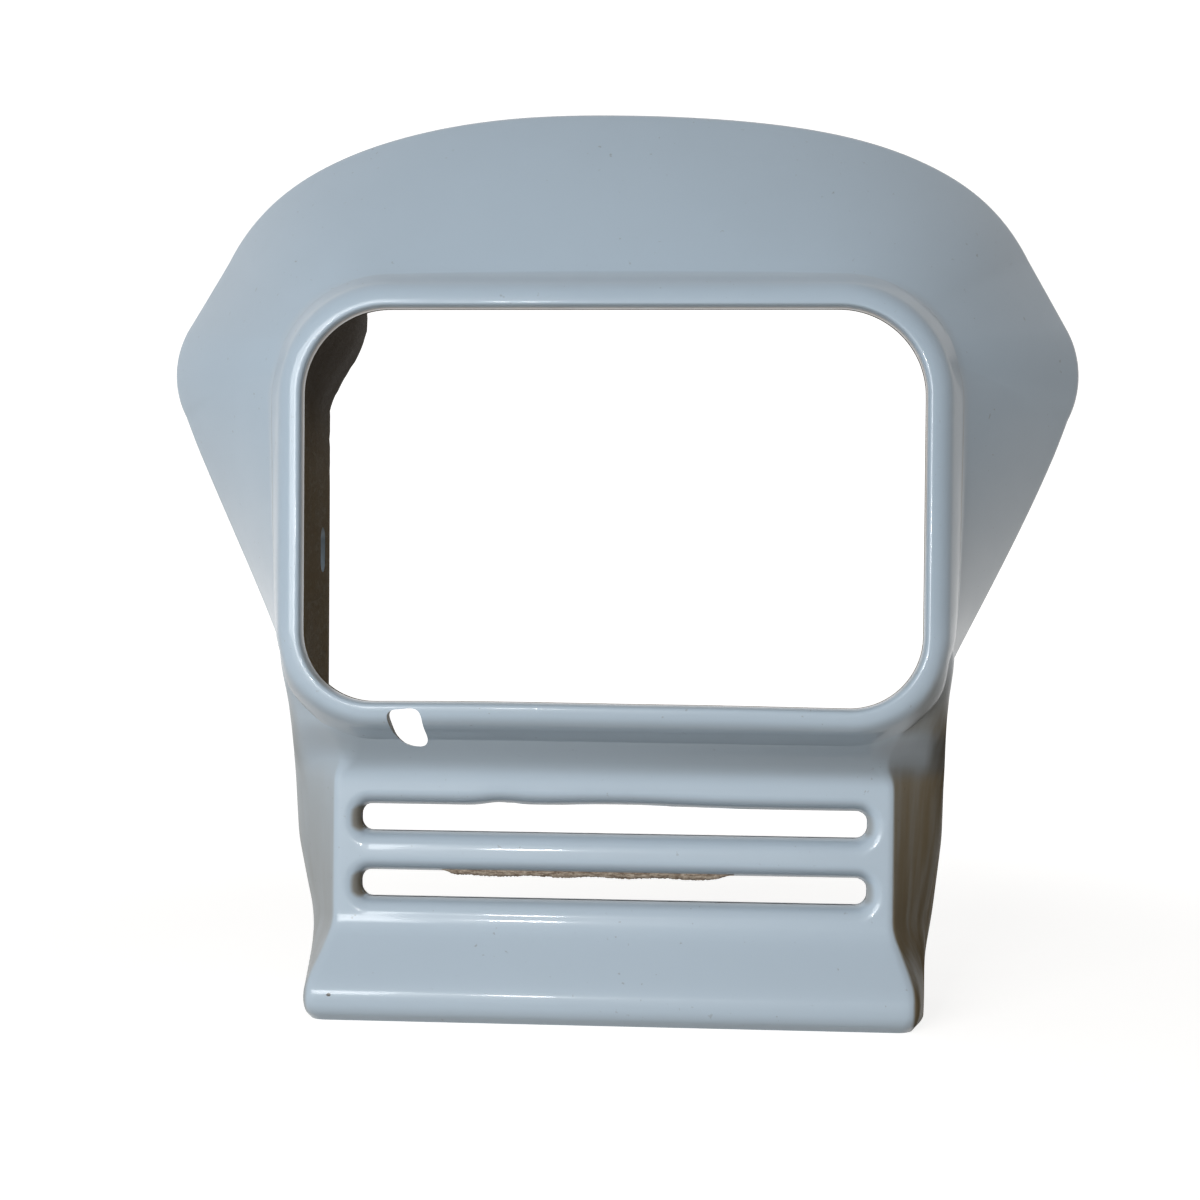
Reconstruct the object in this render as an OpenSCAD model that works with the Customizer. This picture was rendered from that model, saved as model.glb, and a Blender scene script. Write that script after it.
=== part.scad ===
// Headlight cowl for a motorbike with a rectangular lamp.
// One thin-walled gloss moulding: a rounded rim round the lamp window, a helmet-shaped shield with
// two swept-back wings, two side walls, a grille face with two slots, and a flared lip below.
// X runs across, +Y runs back from the rim, +Z is up. The origin is the middle of the footprint.

/* [Lamp window] */
// Clear width of the lamp window
window_w = 187.5; // [176:0.5:196]
// Clear height of the lamp window
window_h = 119.5; // [112:0.5:128]
// Radius of the window's two upper corners
window_top_r = 26; // [16:0.5:30]
// Radius of the window's two lower corners
window_foot_r = 22; // [14:0.5:27]
// Width of the rounded rim round the window
rim_w = 6.2; // [5.4:0.1:7.5]
// Depth of the rim's skirt, from its front
rim_d = 11; // [10:0.5:14]

/* [Moulding] */
// Thickness of the moulded wall
wall_t = 2.6; // [2.2:0.1:3]
// Height of the small concave fillet where the shield leaves the rim
fillet_h = 2.6; // [1.5:0.1:3.2]
// Width of the small concave fillet where the shield leaves the rim
fillet_w = 3.2; // [2:0.1:5]

/* [Shield] */
// Overall width over the two wing tips
shield_w = 295; // [285:1:308]
// Height of the crown above the middle of the window
crown_h = 127.3; // [118:0.5:136]
// Depth of the crown's edge behind the rim
crown_depth = 46; // [36:1:54]
// Length of the crown's edge that runs nearly level, from the middle
crown_flat = 72; // [60:1:84]
// Height of the shoulders, where the crown turns into the straight side edges
shoulder_h = 82; // [76:0.5:88]
// Depth of the shoulders behind the rim
shoulder_depth = 58; // [48:1:66]
// Reach of the shoulders' rounding above the side edges
shoulder_reach = 38; // [30:1:44]
// Height of the wing tips above the middle of the window
tip_h = 44; // [40:0.5:48]
// Depth of the wing tips behind the rim
tip_depth = 54; // [46:1:62]
// Radius of the wing tips in the front view
tip_r = 31; // [16:1:36]
// Angle of the wings' upper side edges from the vertical
side_angle = 28; // [25:0.5:31]
// Angle of the wings' lower edges from the vertical
wing_angle = 27.5; // [26:0.5:29]
// Outward bow of the wings' lower edges
wing_bow = 2.5; // [0:0.1:4]
// Depth of the wings' lower ends behind the rim
wing_foot_depth = 24; // [20:1:30]
// Depth of the shield's surface where it leaves the rim
root_depth = 6.6; // [6:0.1:7]
// Outer radius of the turned-back edge
edge_r = 4; // [3.4:0.1:5]
// Length of the turned-back edge behind its radius
hem = 3; // [1:0.5:6]

/* [Side walls] */
// Depth of the side walls' rear edge behind the rim
wall_d = 94; // [84:1:104]
// Outward step of a side wall just behind the rim
wall_step = 3.7; // [2.5:0.1:5]
// Outward lean of a side wall from that step to its rear edge
wall_spread = 3.2; // [2:0.2:6]
// Inward step of the left wall's rear edge near its top
left_lean = 13; // [8:0.5:16]
// Inward step of the right wall's rear edge near its top
right_lean = 1; // [0.5:0.5:4]
// Height above the middle of the window where those steps start
lean_start = 34; // [28:1:38]
// Height of the side walls' rear top corner above the middle of the window
rear_top = 73; // [69:0.5:78]

/* [Grille face] */
// Height of the recess between the rim and the grille face
valley_h = 16; // [13:0.5:20]
// Depth of the grille face behind the rim
grille_d = 17; // [14:0.5:20]
// Width across the grille face
grille_w = 176; // [168:1:184]
// Height of the grille face
grille_h = 48; // [44:0.5:56]
// Rounding of the grille face's upright edges
grille_r = 3.5; // [2.5:0.5:6]
// Depth of the rear edge of the grille face's sides, at its top
grille_rear_d = 66; // [58:1:74]

/* [Slots] */
// Length of a grille slot
slot_w = 158; // [130:1:162]
// Height of a grille slot
slot_h = 8.8; // [7:0.2:10]
// Corner radius of a grille slot
slot_r = 2.8; // [2:0.1:3.4]
// Spacing of the two slots, middle to middle
slot_pitch = 20.7; // [19.5:0.1:23]
// Distance from the top of the grille face to the middle of the upper slot
slot_drop = 14.8; // [13:0.2:16]
// Radius of the slots' rolled-in mouths
slot_roll = 2.4; // [1.5:0.1:3]
// Depth of the slots' collars behind the grille face
collar_d = 7; // [5:0.5:10]

/* [Lip] */
// Height of the flare from the grille face to the lip
flare_h = 15.5; // [13:0.5:19]
// Height of the lip's front face
lip_h = 12; // [9:0.5:15]
// Depth of the lip's front face behind the rim
lip_d = 4; // [2:0.5:7]
// Width across the lip
lip_w = 190; // [186:1:196]
// Rounding of the lip's upright edges
lip_r = 5.5; // [3:0.5:7]
// Depth of the side walls' rear edge at the lip
foot_d = 57; // [50:1:64]
// Width over the side walls' rear edges at the lip
foot_w = 200.4; // [198:0.2:206]

/* [Holes] */
// Width of the cable hole
cable_w = 8.6; // [6:0.1:10]
// Height of the cable hole
cable_h = 12; // [10.5:0.5:14]
// Slant of the cable hole, its top away from the middle
cable_tilt = 13; // [0:1:25]
// Distance of the cable hole from the middle of the cowl
cable_x = 62.6; // [50:0.2:75]
// Distance of the cable hole's middle below the window
cable_drop = 9.4; // [9:0.2:11]
// Width of the lamp bolt slots in the side walls
bolt_slot_w = 8; // [6:0.2:9]
// Overall height of the lamp bolt slots
bolt_slot_h = 15.4; // [12:0.2:20]
// Distance of the bolt slots' middle in front of the walls' rear edge
bolt_slot_in = 13; // [10:0.5:18]
// Distance of the bolt slots' middle below the middle of the window
bolt_slot_drop = 13; // [8:0.2:20]
// Diameter of the lower stay holes in the side walls
stay_hole_d = 6.5; // [5:0.1:8]
// Distance of the stay holes in front of the walls' lower rear edge
stay_hole_in = 8.5; // [7:0.5:12]
// Height of the stay holes above the foot of the cowl
stay_hole_h = 15; // [10:0.5:18]

/* [Hidden] */

body_colour = [0.68, 0.75, 0.81];

// Share of the shield's sweep that comes late, towards its edge
late_sweep = 0.25;
// How far one wall is sunk into another where they join
sink = 1;
// Depth at which the side walls start inside the rim's skirt
wall_front_d = 5;
// Length past a wall that a cutting shape runs
clear = 1;
// Distance of a wing's lower end out from the rim, and below its place on the rim
wing_foot_out = 3.4;
wing_foot_slant = 6;

// Outer half sizes and corner radii of the rim
rim_x = window_w / 2 + rim_w;
rim_z = window_h / 2 + rim_w;
rim_r = window_top_r + rim_w;
rim_foot_r = window_foot_r + rim_w;
rim_seat_d = rim_w;
rim_flat = rim_x - rim_r;
rim_arc = rim_r * PI / 2;

// Corners of the outline in the front view: the shoulder and the wing tip before its rounding
tip_turn = side_angle + wing_angle;
tip_cut = tip_r * tan(tip_turn / 2);
side_dir = [sin(side_angle), -cos(side_angle)];
wing_dir = [-sin(wing_angle), -cos(wing_angle)];
tip_x = shield_w / 2 + tip_r * (1 / cos(tip_turn / 2) - 1);
tip_corner = [tip_x, tip_h];
shoulder = tip_corner - side_dir * (shoulder_h - tip_h) / cos(side_angle);
wing_start = tip_corner + wing_dir * tip_cut;
wing_foot_x = rim_x + wing_foot_out;
wing_len = (wing_start[0] - wing_foot_x) / sin(wing_angle);
wing_foot = wing_start + wing_dir * wing_len;

// Lengths along the rim, from its top middle, that face the shoulder, the tip and the wing's foot
shoulder_run = rim_flat + rim_arc * 0.48;
tip_run = rim_flat + rim_arc * 0.72;
wing_foot_run = rim_flat + rim_arc + rim_z - rim_r - wing_foot[1] - wing_foot_slant;

// Heights below the middle of the window
grille_top = -rim_z - valley_h;
grille_foot = grille_top - grille_h;
lip_top = grille_foot - flare_h;
lip_foot = lip_top - lip_h;
slot_z = grille_top - slot_drop;

// Half widths over the side walls: behind the rim, at the rear, and where they stop under the crown
wall_step_x = rim_x + wall_step;
wall_rear_x = wall_step_x + wall_spread;
wall_top_x = rim_x - 12;
wall_top = rear_top + 33;

function mix(a, b, t) = a + (b - a) * t;
function clamp01(t) = max(0, min(1, t));
function ease(t) = let (u = clamp01(t)) u * u * (3 - 2 * u);
function unit(v) = v / norm(v);
function cross2(a, b) = a[0] * b[1] - a[1] * b[0];

// A path through the points with each inner corner rounded, starting the given length before it
function soften(pts, cuts, n) = [
    for (k = [0 : len(pts) - 1])
        if (k == 0 || k == len(pts) - 1) pts[k]
        else
            let (
                p = pts[k],
                a = p + (pts[k - 1] - p) * cuts[k] / norm(pts[k - 1] - p),
                b = p + (pts[k + 1] - p) * cuts[k] / norm(pts[k + 1] - p)
            )
            each [for (i = [0 : n]) let (t = i / n) mix(mix(a, p, t), mix(p, b, t), t)]
];

// A sheet of even thickness as a closed solid: two like grids of points, skin and lining, joined
// round the border of the cells that are kept
module sheet(skin, lining, keep) {
    rows = len(skin);
    cols = len(skin[0]);
    function at(i, j) = i * cols + j;
    function back(i, j) = rows * cols + at(i, j);
    function kept(i, j) = i >= 0 && j >= 0 && i < rows - 1 && j < cols - 1 && keep(i, j);
    function border(i, j, k, l) = [
        [at(i, j), at(k, l), back(k, l)],
        [at(i, j), back(k, l), back(i, j)]
    ];
    faces = [
        for (i = [0 : rows - 2])
            for (j = [0 : cols - 2])
                if (kept(i, j))
                    each concat(
                        [[at(i, j), at(i + 1, j), at(i + 1, j + 1)]],
                        [[at(i, j), at(i + 1, j + 1), at(i, j + 1)]],
                        [[back(i, j), back(i + 1, j + 1), back(i + 1, j)]],
                        [[back(i, j), back(i, j + 1), back(i + 1, j + 1)]],
                        kept(i - 1, j) ? [] : border(i, j, i, j + 1),
                        kept(i + 1, j) ? [] : border(i + 1, j + 1, i + 1, j),
                        kept(i, j - 1) ? [] : border(i + 1, j, i, j),
                        kept(i, j + 1) ? [] : border(i, j + 1, i + 1, j + 1)
                    )
    ];
    polyhedron(points = concat([for (r = skin) each r], [for (r = lining) each r]), faces = faces);
}

// Things drawn in the front view, x and z, and run back from the rim's front
module in_front_view() {
    rotate([90, 0, 0]) mirror([0, 0, 1]) children();
}

// A profile swept round a rounded rectangle in the front view, with one radius for the upper
// corners and one for the lower. In the profile, x runs outwards from the rectangle's edge and y
// runs back.
module sweep_round(w, h, top_r, foot_r, fn) {
    for (sx = [0, 1])
        mirror([sx, 0, 0]) {
            for (sy = [0, 1])
                let (r = sy == 0 ? top_r : foot_r)
                    mirror([0, sy, 0])
                        translate([w / 2 - r, h / 2 - r, 0])
                            rotate_extrude(angle = 90, $fn = fn)
                                translate([r, 0]) children();
            translate([w / 2, h / 2 - top_r, 0])
                rotate([90, 0, 0])
                    linear_extrude(height = h - top_r - foot_r) children();
        }
    for (sy = [0, 1])
        let (r = sy == 0 ? top_r : foot_r)
            mirror([0, sy, 0])
                translate([-w / 2 + r, h / 2, 0])
                    rotate([90, 0, 90])
                        linear_extrude(height = w - 2 * r) children();
}

module rounded_plate(w, h, r, t) {
    linear_extrude(height = t) {
        square([w - 2 * r, h], center = true);
        square([w, h - 2 * r], center = true);
        for (x = [-1, 1])
            for (y = [-1, 1])
                translate([x * (w / 2 - r), y * (h / 2 - r)])
                    circle(r = r, $fn = 24);
    }
}

// The rounded rim with its skirt behind
module rim() {
    in_front_view()
        sweep_round(window_w, window_h, window_top_r, window_foot_r, 48) {
            translate([rim_w / 2, rim_w / 2]) circle(d = rim_w, $fn = 24);
            translate([0, rim_w / 2]) square([rim_w, rim_seat_d - rim_w / 2]);
            translate([rim_w - wall_t, rim_w / 2]) square([wall_t, rim_d - rim_w / 2]);
        }
}

// Point on the rim's outer edge, at a length from the top middle towards +X and down
function rim_point(run) =
    run < rim_flat ? [run, rim_z]
    : run < rim_flat + rim_arc
        ? let (a = (run - rim_flat) / rim_r * 180 / PI)
          [rim_flat + rim_r * sin(a), rim_z - rim_r * (1 - cos(a))]
        : let (z = rim_z - rim_r - (run - rim_flat - rim_arc), low = max(0, rim_foot_r - rim_z - z))
          [rim_x - rim_foot_r + sqrt(rim_foot_r * rim_foot_r - low * low), z];

// A station of the shield: its point on the rim, its point on the outline, and its edge's depth.
// The crown's edge is one cubic curve from the middle to the shoulder.
function cubic(a, b, c, d, t) =
    mix(mix(mix(a, b, t), mix(b, c, t), t), mix(mix(b, c, t), mix(c, d, t), t), t);

function crown_station(t) =
    let (
        edge = cubic([0, crown_h], [crown_flat, crown_h], shoulder - side_dir * shoulder_reach,
            shoulder, t),
        s = edge[0] / shoulder[0]
    )
    [rim_point(shoulder_run * s), edge, mix(crown_depth, shoulder_depth, s * s)];

function side_station(t) = [
    rim_point(mix(shoulder_run, tip_run - 3, t)),
    mix(shoulder, tip_corner - side_dir * tip_cut, t),
    mix(shoulder_depth, tip_depth, t)
];

function tip_station(t) =
    let (a = mix(side_angle, -wing_angle, t), lean = (side_angle - wing_angle) / 2)
    [
        rim_point(tip_run + mix(-3, 3, t)),
        tip_corner - [cos(lean), sin(lean)] * tip_r / cos(tip_turn / 2) + tip_r * [cos(a), sin(a)],
        tip_depth
    ];

function wing_station(t) = [
    rim_point(mix(tip_run + 3, wing_foot_run, t)),
    wing_start + wing_dir * wing_len * t + [cos(wing_angle), -sin(wing_angle)] * wing_bow * 4 * t * (1 - t),
    mix(tip_depth, wing_foot_depth, pow(t, 3))
];

half_stations = concat(
    [for (i = [0 : 12]) crown_station(i / 12)],
    [for (i = [1 : 2]) side_station(i / 2)],
    [for (i = [1 : 5]) tip_station(i / 5)],
    [for (i = [1 : 7]) wing_station(i / 7)]
);

function sweep_share(v) = v * (1 - late_sweep) + late_sweep * v * v;
function sweep_slope(v) = 1 - late_sweep + 2 * late_sweep * v;

// The shield's section at a station, as pairs of skin and lining points: distance out from the
// rim, and depth
function section(run, depth) =
    let (
        rise = depth - root_depth,
        edge_a = atan(rise / run * sweep_slope(1)),
        fw = min(fillet_w, run / 4),
        end_run = run - edge_r * (1 - sin(edge_a)),
        end_depth = root_depth + rise * sweep_share(end_run / run),
        centre = [run - edge_r, end_depth + edge_r * cos(edge_a)]
    )
    concat(
        [[[-sink, root_depth - fillet_h], [-sink, root_depth + wall_t]]],
        [for (a = [0, 30, 60])
            let (e = fw * (1 - cos(a)) - 0.2)
            [[e, root_depth - fillet_h * (1 - sin(a))], [e, root_depth + wall_t]]],
        [for (i = [0 : 5])
            let (
                r = mix(fw, end_run, i / 5),
                a = atan(rise / run * sweep_slope(r / run)),
                d = root_depth + rise * sweep_share(r / run)
            )
            [[r, d], [r - wall_t * sin(a), d + wall_t * cos(a)]]],
        [for (i = [1 : 3])
            let (a = mix(edge_a, 90, i / 3))
            [centre + edge_r * [sin(a), -cos(a)], centre + (edge_r - wall_t) * [sin(a), -cos(a)]]],
        [[centre + [edge_r, hem], centre + [edge_r - wall_t, hem]]]
    );

// Section points placed in space at a station; side is 1 for the skin and -1 for the mirror half
function placed(st, layer, side) =
    let (run = norm(st[1] - st[0]), dir = unit(st[1] - st[0]))
    [for (p = section(run, st[2]))
        let (q = st[0] + dir * p[layer][0]) [side * q[0], p[layer][1], q[1]]];

function shield_grid(layer) = concat(
    [for (i = [len(half_stations) - 1 : -1 : 1]) placed(half_stations[i], layer, 1)],
    [for (st = half_stations) placed(st, layer, -1)]
);

// The helmet-shaped shield with its wings and its turned-back edge
module shield() {
    sheet(shield_grid(0), shield_grid(1), function (i, j) true);
}

// Depth of the crown's skin behind a point of the front view, found by halving the range of
// stations whose line passes through it
function station_through(p, lo, hi, n) =
    n == 0 ? crown_station((lo + hi) / 2)
    : let (mid = (lo + hi) / 2, st = crown_station(mid))
      cross2(st[1] - st[0], p - st[0]) < 0
        ? station_through(p, mid, hi, n - 1)
        : station_through(p, lo, mid, n - 1);

function crown_depth_at(p) =
    let (
        st = station_through(p, 0, 1, 20),
        run = norm(st[1] - st[0]),
        v = clamp01((p - st[0]) * unit(st[1] - st[0]) / run)
    )
    root_depth + (st[2] - root_depth) * sweep_share(v);

// Outer half width of the rim at a height in its upper corner
function rim_x_at(z) =
    let (up = z - (rim_z - rim_r))
    up <= 0 ? rim_x : rim_flat + sqrt(max(0, rim_r * rim_r - up * up));

// A side in plan: from a front point, round a knee, to the rear edge
side_steps = 5;
function side_line(front, knee, rear, z) =
    let (a = mix(front, knee, 0.6), b = mix(knee, rear, 0.2))
    [for (p = [front, a, mix(mix(a, knee, 0.5), mix(knee, b, 0.5), 0.5), b, mix(knee, rear, 0.6), rear])
        [p[0], p[1], z]];

// The line of an upper side wall at a height, for the rear edge's inward step on its side
function wall_line(z, lean) =
    let (
        step = ease((z - lean_start) / (rim_z - lean_start)),
        x0 = max(rim_x_at(z) - 0.3, wall_top_x),
        x1 = wall_rear_x - lean * step,
        sunk = crown_depth_at([x0, z]) + 1.3,
        d0 = z < rim_z - 6 ? wall_front_d : max(wall_front_d, sunk),
        top_d = crown_depth_at([wall_top_x, wall_top]) + 3,
        d1 = max(d0 + 4, mix(wall_d, top_d, clamp01((z - rear_top) / (wall_top - rear_top)))),
        t1 = (d1 - wall_front_d) / (wall_d - wall_front_d),
        rear = [mix(x0, x1, t1), d1],
        knee = mix([x0, d0], rear, 0.25) + [wall_step * (1 - step), 0]
    )
    side_line([x0, d0], knee, rear, z);

// Levels of the lower front, from the foot up. Each is the height, the depth of the front, the
// half width and the corner radius, then x and depth of the side's knee and of its rear edge.
half_foot = foot_w / 2;
half_grille = grille_w / 2;
lower_levels = soften(
    [
        [lip_foot - 2, lip_d + 4, lip_w / 2 - 3.5, lip_r, half_foot - 3.5, 30, half_foot - 0.5, foot_d],
        [lip_foot + 3, lip_d, lip_w / 2, lip_r, half_foot - 3, 30, half_foot, foot_d],
        [lip_top, lip_d, lip_w / 2, lip_r, half_foot - 3, 30, half_foot, foot_d + 1],
        [grille_foot, grille_d, half_grille, grille_r, half_foot - 2.4, 40, half_foot + 2.6, foot_d + 3],
        [grille_foot + grille_h / 2, grille_d, half_grille, grille_r,
            wall_step_x - 0.6, 40, wall_rear_x - 1, grille_rear_d - 4],
        [grille_top, grille_d, half_grille, grille_r, wall_step_x, 33, wall_rear_x, grille_rear_d],
        [-rim_z - 1, 6.5, wall_step_x - 2.4, 4, wall_step_x - 0.5, 24, wall_rear_x, wall_d],
        [-rim_z + rim_w / 2, 6, wall_step_x - 2.2, 4, wall_step_x - 0.5, 18, wall_rear_x, wall_d]
    ],
    [0, 2.5, 3, 6, 8, 4, 1.5, 0],
    3
);

// Levels beside the rim's lower corners, where the front is only a web out from the rim
web_levels = [
    for (z = [for (k = [1 : 4]) mix(-rim_z + rim_w / 2, window_foot_r - window_h / 2, k / 4)])
        [z, 6, wall_step_x - 2, 3.5, wall_step_x - 0.4, 17, wall_rear_x, wall_d]
];

// Middle line of the rim's lower corner, at a height
web_x0 = window_w / 2 - window_foot_r;
function web_x(z) =
    let (down = window_foot_r - window_h / 2 - z, r = window_foot_r + rim_w / 2)
    web_x0 + (down >= r ? 0 : sqrt(r * r - down * down));

// The front's outer half at a level: in from the corner, round it, and back along the side
corner_steps = 4;
function corner_line(lv) =
    let (
        r = lv[3],
        c = [lv[2] - r, r + lv[1]],
        knee = [lv[4], lv[5]],
        a_end = atan2(knee[1] - c[1], knee[0] - c[0]) - acos(r / norm(knee - c)),
        e = c + r * [cos(a_end), sin(a_end)]
    )
    concat(
        [[min(web_x(lv[0]), c[0] - 0.5), lv[1], lv[0]]],
        [for (k = [0 : corner_steps - 1])
            let (a = mix(-90, a_end, k / corner_steps))
            [c[0] + r * cos(a), c[1] + r * sin(a), lv[0]]],
        side_line(e, knee, [lv[6], lv[7]], lv[0])
    );

web_top = web_levels[len(web_levels) - 1];
wall_heights = concat(
    [web_top[0] + 6, lean_start],
    [for (k = [1 : 7]) mix(lean_start, rim_z, k / 7)],
    [for (k = [1 : 7]) mix(rim_z, wall_top, k / 7)]
);

// Rows of the front's outer half. Above the lower corners a row has only its side, and the places
// of its missing front points lie straight above those of the last full row.
function half_rows(lean) = concat(
    [for (lv = concat(lower_levels, web_levels)) corner_line(lv)],
    [for (z = wall_heights)
        concat(
            [for (k = [0 : corner_steps])
                let (p = corner_line(web_top)[k]) [p[0], p[1], z]],
            wall_line(z, lean)
        )]
);

function mirrored(row) = [for (k = [len(row) - 1 : -1 : 0]) [-row[k][0], row[k][1], row[k][2]]];
left_rows = half_rows(left_lean);
right_rows = half_rows(right_lean);
box_skin = [for (i = [0 : len(left_rows) - 1]) concat(mirrored(left_rows[i]), right_rows[i])];

// The lining lies one wall thickness inside the skin, along its normal, and ends level with the
// skin at the rear
function inward(grid, i, j) =
    let (
        rows = len(grid),
        cols = len(grid[0]),
        du = grid[i][min(j + 1, cols - 1)] - grid[i][max(j - 1, 0)],
        dv = grid[min(i + 1, rows - 1)][j] - grid[max(i - 1, 0)][j]
    )
    unit(cross(dv, du));

box_lining = [
    for (i = [0 : len(box_skin) - 1])
        [for (j = [0 : len(box_skin[0]) - 1])
            let (
                at_rear = j == 0 || j == len(box_skin[0]) - 1,
                q = box_skin[i][j] + wall_t * inward(box_skin, i, j)
            )
            at_rear ? [q[0], box_skin[i][j][1], q[2]] : q]
];

// Side walls, grille face, flare and lip in one skin, open inside the rim and above it
module box() {
    front_rows = len(lower_levels) - 1;
    web_rows = front_rows + len(web_levels);
    side_cols = side_steps;
    cols = len(box_skin[0]);
    middle = cols / 2 - 1;
    sheet(box_skin, box_lining,
        function (i, j)
            i < front_rows || (i < web_rows && j != middle)
                || j < side_cols || j > cols - 2 - side_cols);
}

// Collars behind the grille slots
module slot_collars() {
    for (k = [0, 1])
        translate([0, grille_d + 0.8, slot_z - k * slot_pitch])
            in_front_view()
                rounded_plate(slot_w + 2 * wall_t, slot_h + 2 * wall_t, slot_r + wall_t,
                    collar_d - 0.8);
}

// The rolled-in mouth of a slot: a rounded step outside the slot's edge
module slot_mouth() {
    start = 18;
    lift = slot_roll * (1 - cos(start));
    polygon(concat(
        [[-clear, -clear], [slot_roll, -clear]],
        [for (k = [0 : 5])
            let (a = mix(start, 85, k / 5))
            [slot_roll * (1 - sin(a)), slot_roll * (1 - cos(a)) - lift]],
        [[slot_roll * (1 - sin(85)), collar_d + clear], [-clear, collar_d + clear]]
    ));
}

module slot_cuts() {
    for (k = [0, 1])
        translate([0, grille_d, slot_z - k * slot_pitch])
            in_front_view() {
                translate([0, 0, -2])
                    rounded_plate(slot_w - 0.6, slot_h - 0.6, slot_r - 0.3, collar_d + 4);
                sweep_round(slot_w, slot_h, slot_r, slot_r, 24) slot_mouth();
            }
}

// A rounded slot with upright axis ends, drawn in its own plane
module slot_shape(w, h) {
    for (s = [-1, 1])
        translate([0, s * (h - w) / 2]) circle(d = w, $fn = 36);
    square([w, h - w], center = true);
}

module cable_hole() {
    translate([-cable_x, -clear, -window_h / 2 - cable_drop])
        in_front_view()
            rotate([0, 0, cable_tilt])
                linear_extrude(height = grille_d + 3 * wall_t) slot_shape(cable_w, cable_h);
}

// Upright slots for the two lamp bolts, straight across through both side walls
module bolt_slots() {
    for (s = [-1, 1])
        translate([s * (wall_rear_x - 2 * wall_t), wall_d - bolt_slot_in, -bolt_slot_drop])
            rotate([90, 0, 90])
                linear_extrude(height = 8 * wall_t, center = true)
                    slot_shape(bolt_slot_w, bolt_slot_h);
}

// Round holes for the lower stays, straight across through both side walls
module stay_holes() {
    for (s = [-1, 1])
        translate([s * foot_w / 2, foot_d - stay_hole_in, lip_foot + stay_hole_h])
            rotate([0, 90, 0])
                cylinder(d = stay_hole_d, h = 10 * wall_t, center = true, $fn = 36);
}

// What lies below the flat foot of the cowl
module below_foot() {
    translate([-shield_w / 2, -clear, lip_foot - 10])
        cube([shield_w, wall_d + 2 * clear, 10]);
}

// The large walls with everything that is cut through them
module walls() {
    shield();
    difference() {
        box();
        slot_cuts();
        cable_hole();
        bolt_slots();
        stay_holes();
        below_foot();
    }
}

module cowl() {
    color(body_colour)
        translate([0, -wall_d / 2, -lip_foot]) {
            walls();
            difference() {
                rim();
                cable_hole();
            }
            difference() {
                slot_collars();
                slot_cuts();
            }
        }
}

cowl();
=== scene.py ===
"""The headlight cowl dressed for rendering: one fine shell of even wall thickness in place of the
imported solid, procedural gloss and raw-backing materials, studio light, and the photograph's camera."""
import math

import bmesh
import bpy
import numpy as np
from mathutils import Matrix, Vector


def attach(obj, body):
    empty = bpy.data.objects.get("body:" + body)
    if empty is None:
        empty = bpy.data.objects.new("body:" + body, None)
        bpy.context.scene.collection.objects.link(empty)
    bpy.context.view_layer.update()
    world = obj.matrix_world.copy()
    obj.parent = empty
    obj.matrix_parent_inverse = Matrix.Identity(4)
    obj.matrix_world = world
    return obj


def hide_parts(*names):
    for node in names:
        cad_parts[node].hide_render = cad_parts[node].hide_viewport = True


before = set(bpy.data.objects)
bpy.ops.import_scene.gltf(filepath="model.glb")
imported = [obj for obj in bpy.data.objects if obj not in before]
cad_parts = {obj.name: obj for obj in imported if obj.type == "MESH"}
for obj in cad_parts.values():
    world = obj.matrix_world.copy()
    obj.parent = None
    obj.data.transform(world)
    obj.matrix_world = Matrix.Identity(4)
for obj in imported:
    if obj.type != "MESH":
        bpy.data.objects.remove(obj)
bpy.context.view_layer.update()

# Lengths below are in millimetres from the middle of the lamp window: x to the right, d back from
# the rim's front, z up. The row frame has its origin under the middle of the footprint.
HALF_DEPTH = 47.0
FOOT = 157.45


def to_row(points):
    """Window-centred millimetres (x, d, z) to metres in the row frame."""
    p = np.asarray(points, float)
    return (p + [0.0, -HALF_DEPTH, FOOT]) * 0.001


# Sizes, as in the part's source
WINDOW_W, WINDOW_H, WINDOW_TOP_R, WINDOW_FOOT_R = 187.5, 119.5, 26.0, 22.0
RIM_W, RIM_D, WALL = 6.2, 11.0, 2.6
SHIELD_W, CROWN_H, CROWN_DEPTH, CROWN_FLAT = 295.0, 127.3, 46.0, 72.0
SHOULDER_H, SHOULDER_DEPTH, SHOULDER_REACH = 82.0, 58.0, 38.0
TIP_H, TIP_DEPTH, TIP_R = 44.0, 54.0, 31.0
SIDE_ANGLE, WING_ANGLE = math.radians(28.0), math.radians(27.5)
WING_BOW, WING_FOOT_DEPTH, WING_FOOT_OUT, WING_FOOT_SLANT = 2.5, 24.0, 3.4, 6.0
ROOT_DEPTH, EDGE_R, HEM, LATE_SWEEP = 6.6, 4.0, 3.0, 0.25
WALL_D, WALL_STEP, WALL_SPREAD = 94.0, 3.7, 3.2
LEFT_LEAN, RIGHT_LEAN, LEAN_START, REAR_TOP = 13.0, 1.0, 34.0, 73.0
VALLEY_H, GRILLE_D, GRILLE_W, GRILLE_H, GRILLE_R, GRILLE_REAR_D = 16.0, 17.0, 176.0, 48.0, 3.5, 66.0
SLOT_W, SLOT_H, SLOT_R, SLOT_PITCH, SLOT_DROP, COLLAR_D = 158.0, 8.8, 2.8, 20.7, 14.8, 7.0
FLARE_H, LIP_H, LIP_D, LIP_W, FOOT_D, FOOT_W = 15.5, 12.0, 4.0, 190.0, 57.0, 200.4
# Corners of the cable hole in the front view, each with its rounding
CABLE_CORNERS = [(-68.0, -62.4, 3.4), (-57.2, -61.4, 3.6), (-55.6, -74.0, 4.2), (-65.2, -73.0, 5.2)]
BOLT_W, BOLT_H, BOLT_IN, BOLT_DROP = 8.0, 15.4, 13.0, 13.0
STAY_D, STAY_IN, STAY_H = 6.5, 8.5, 15.0

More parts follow.
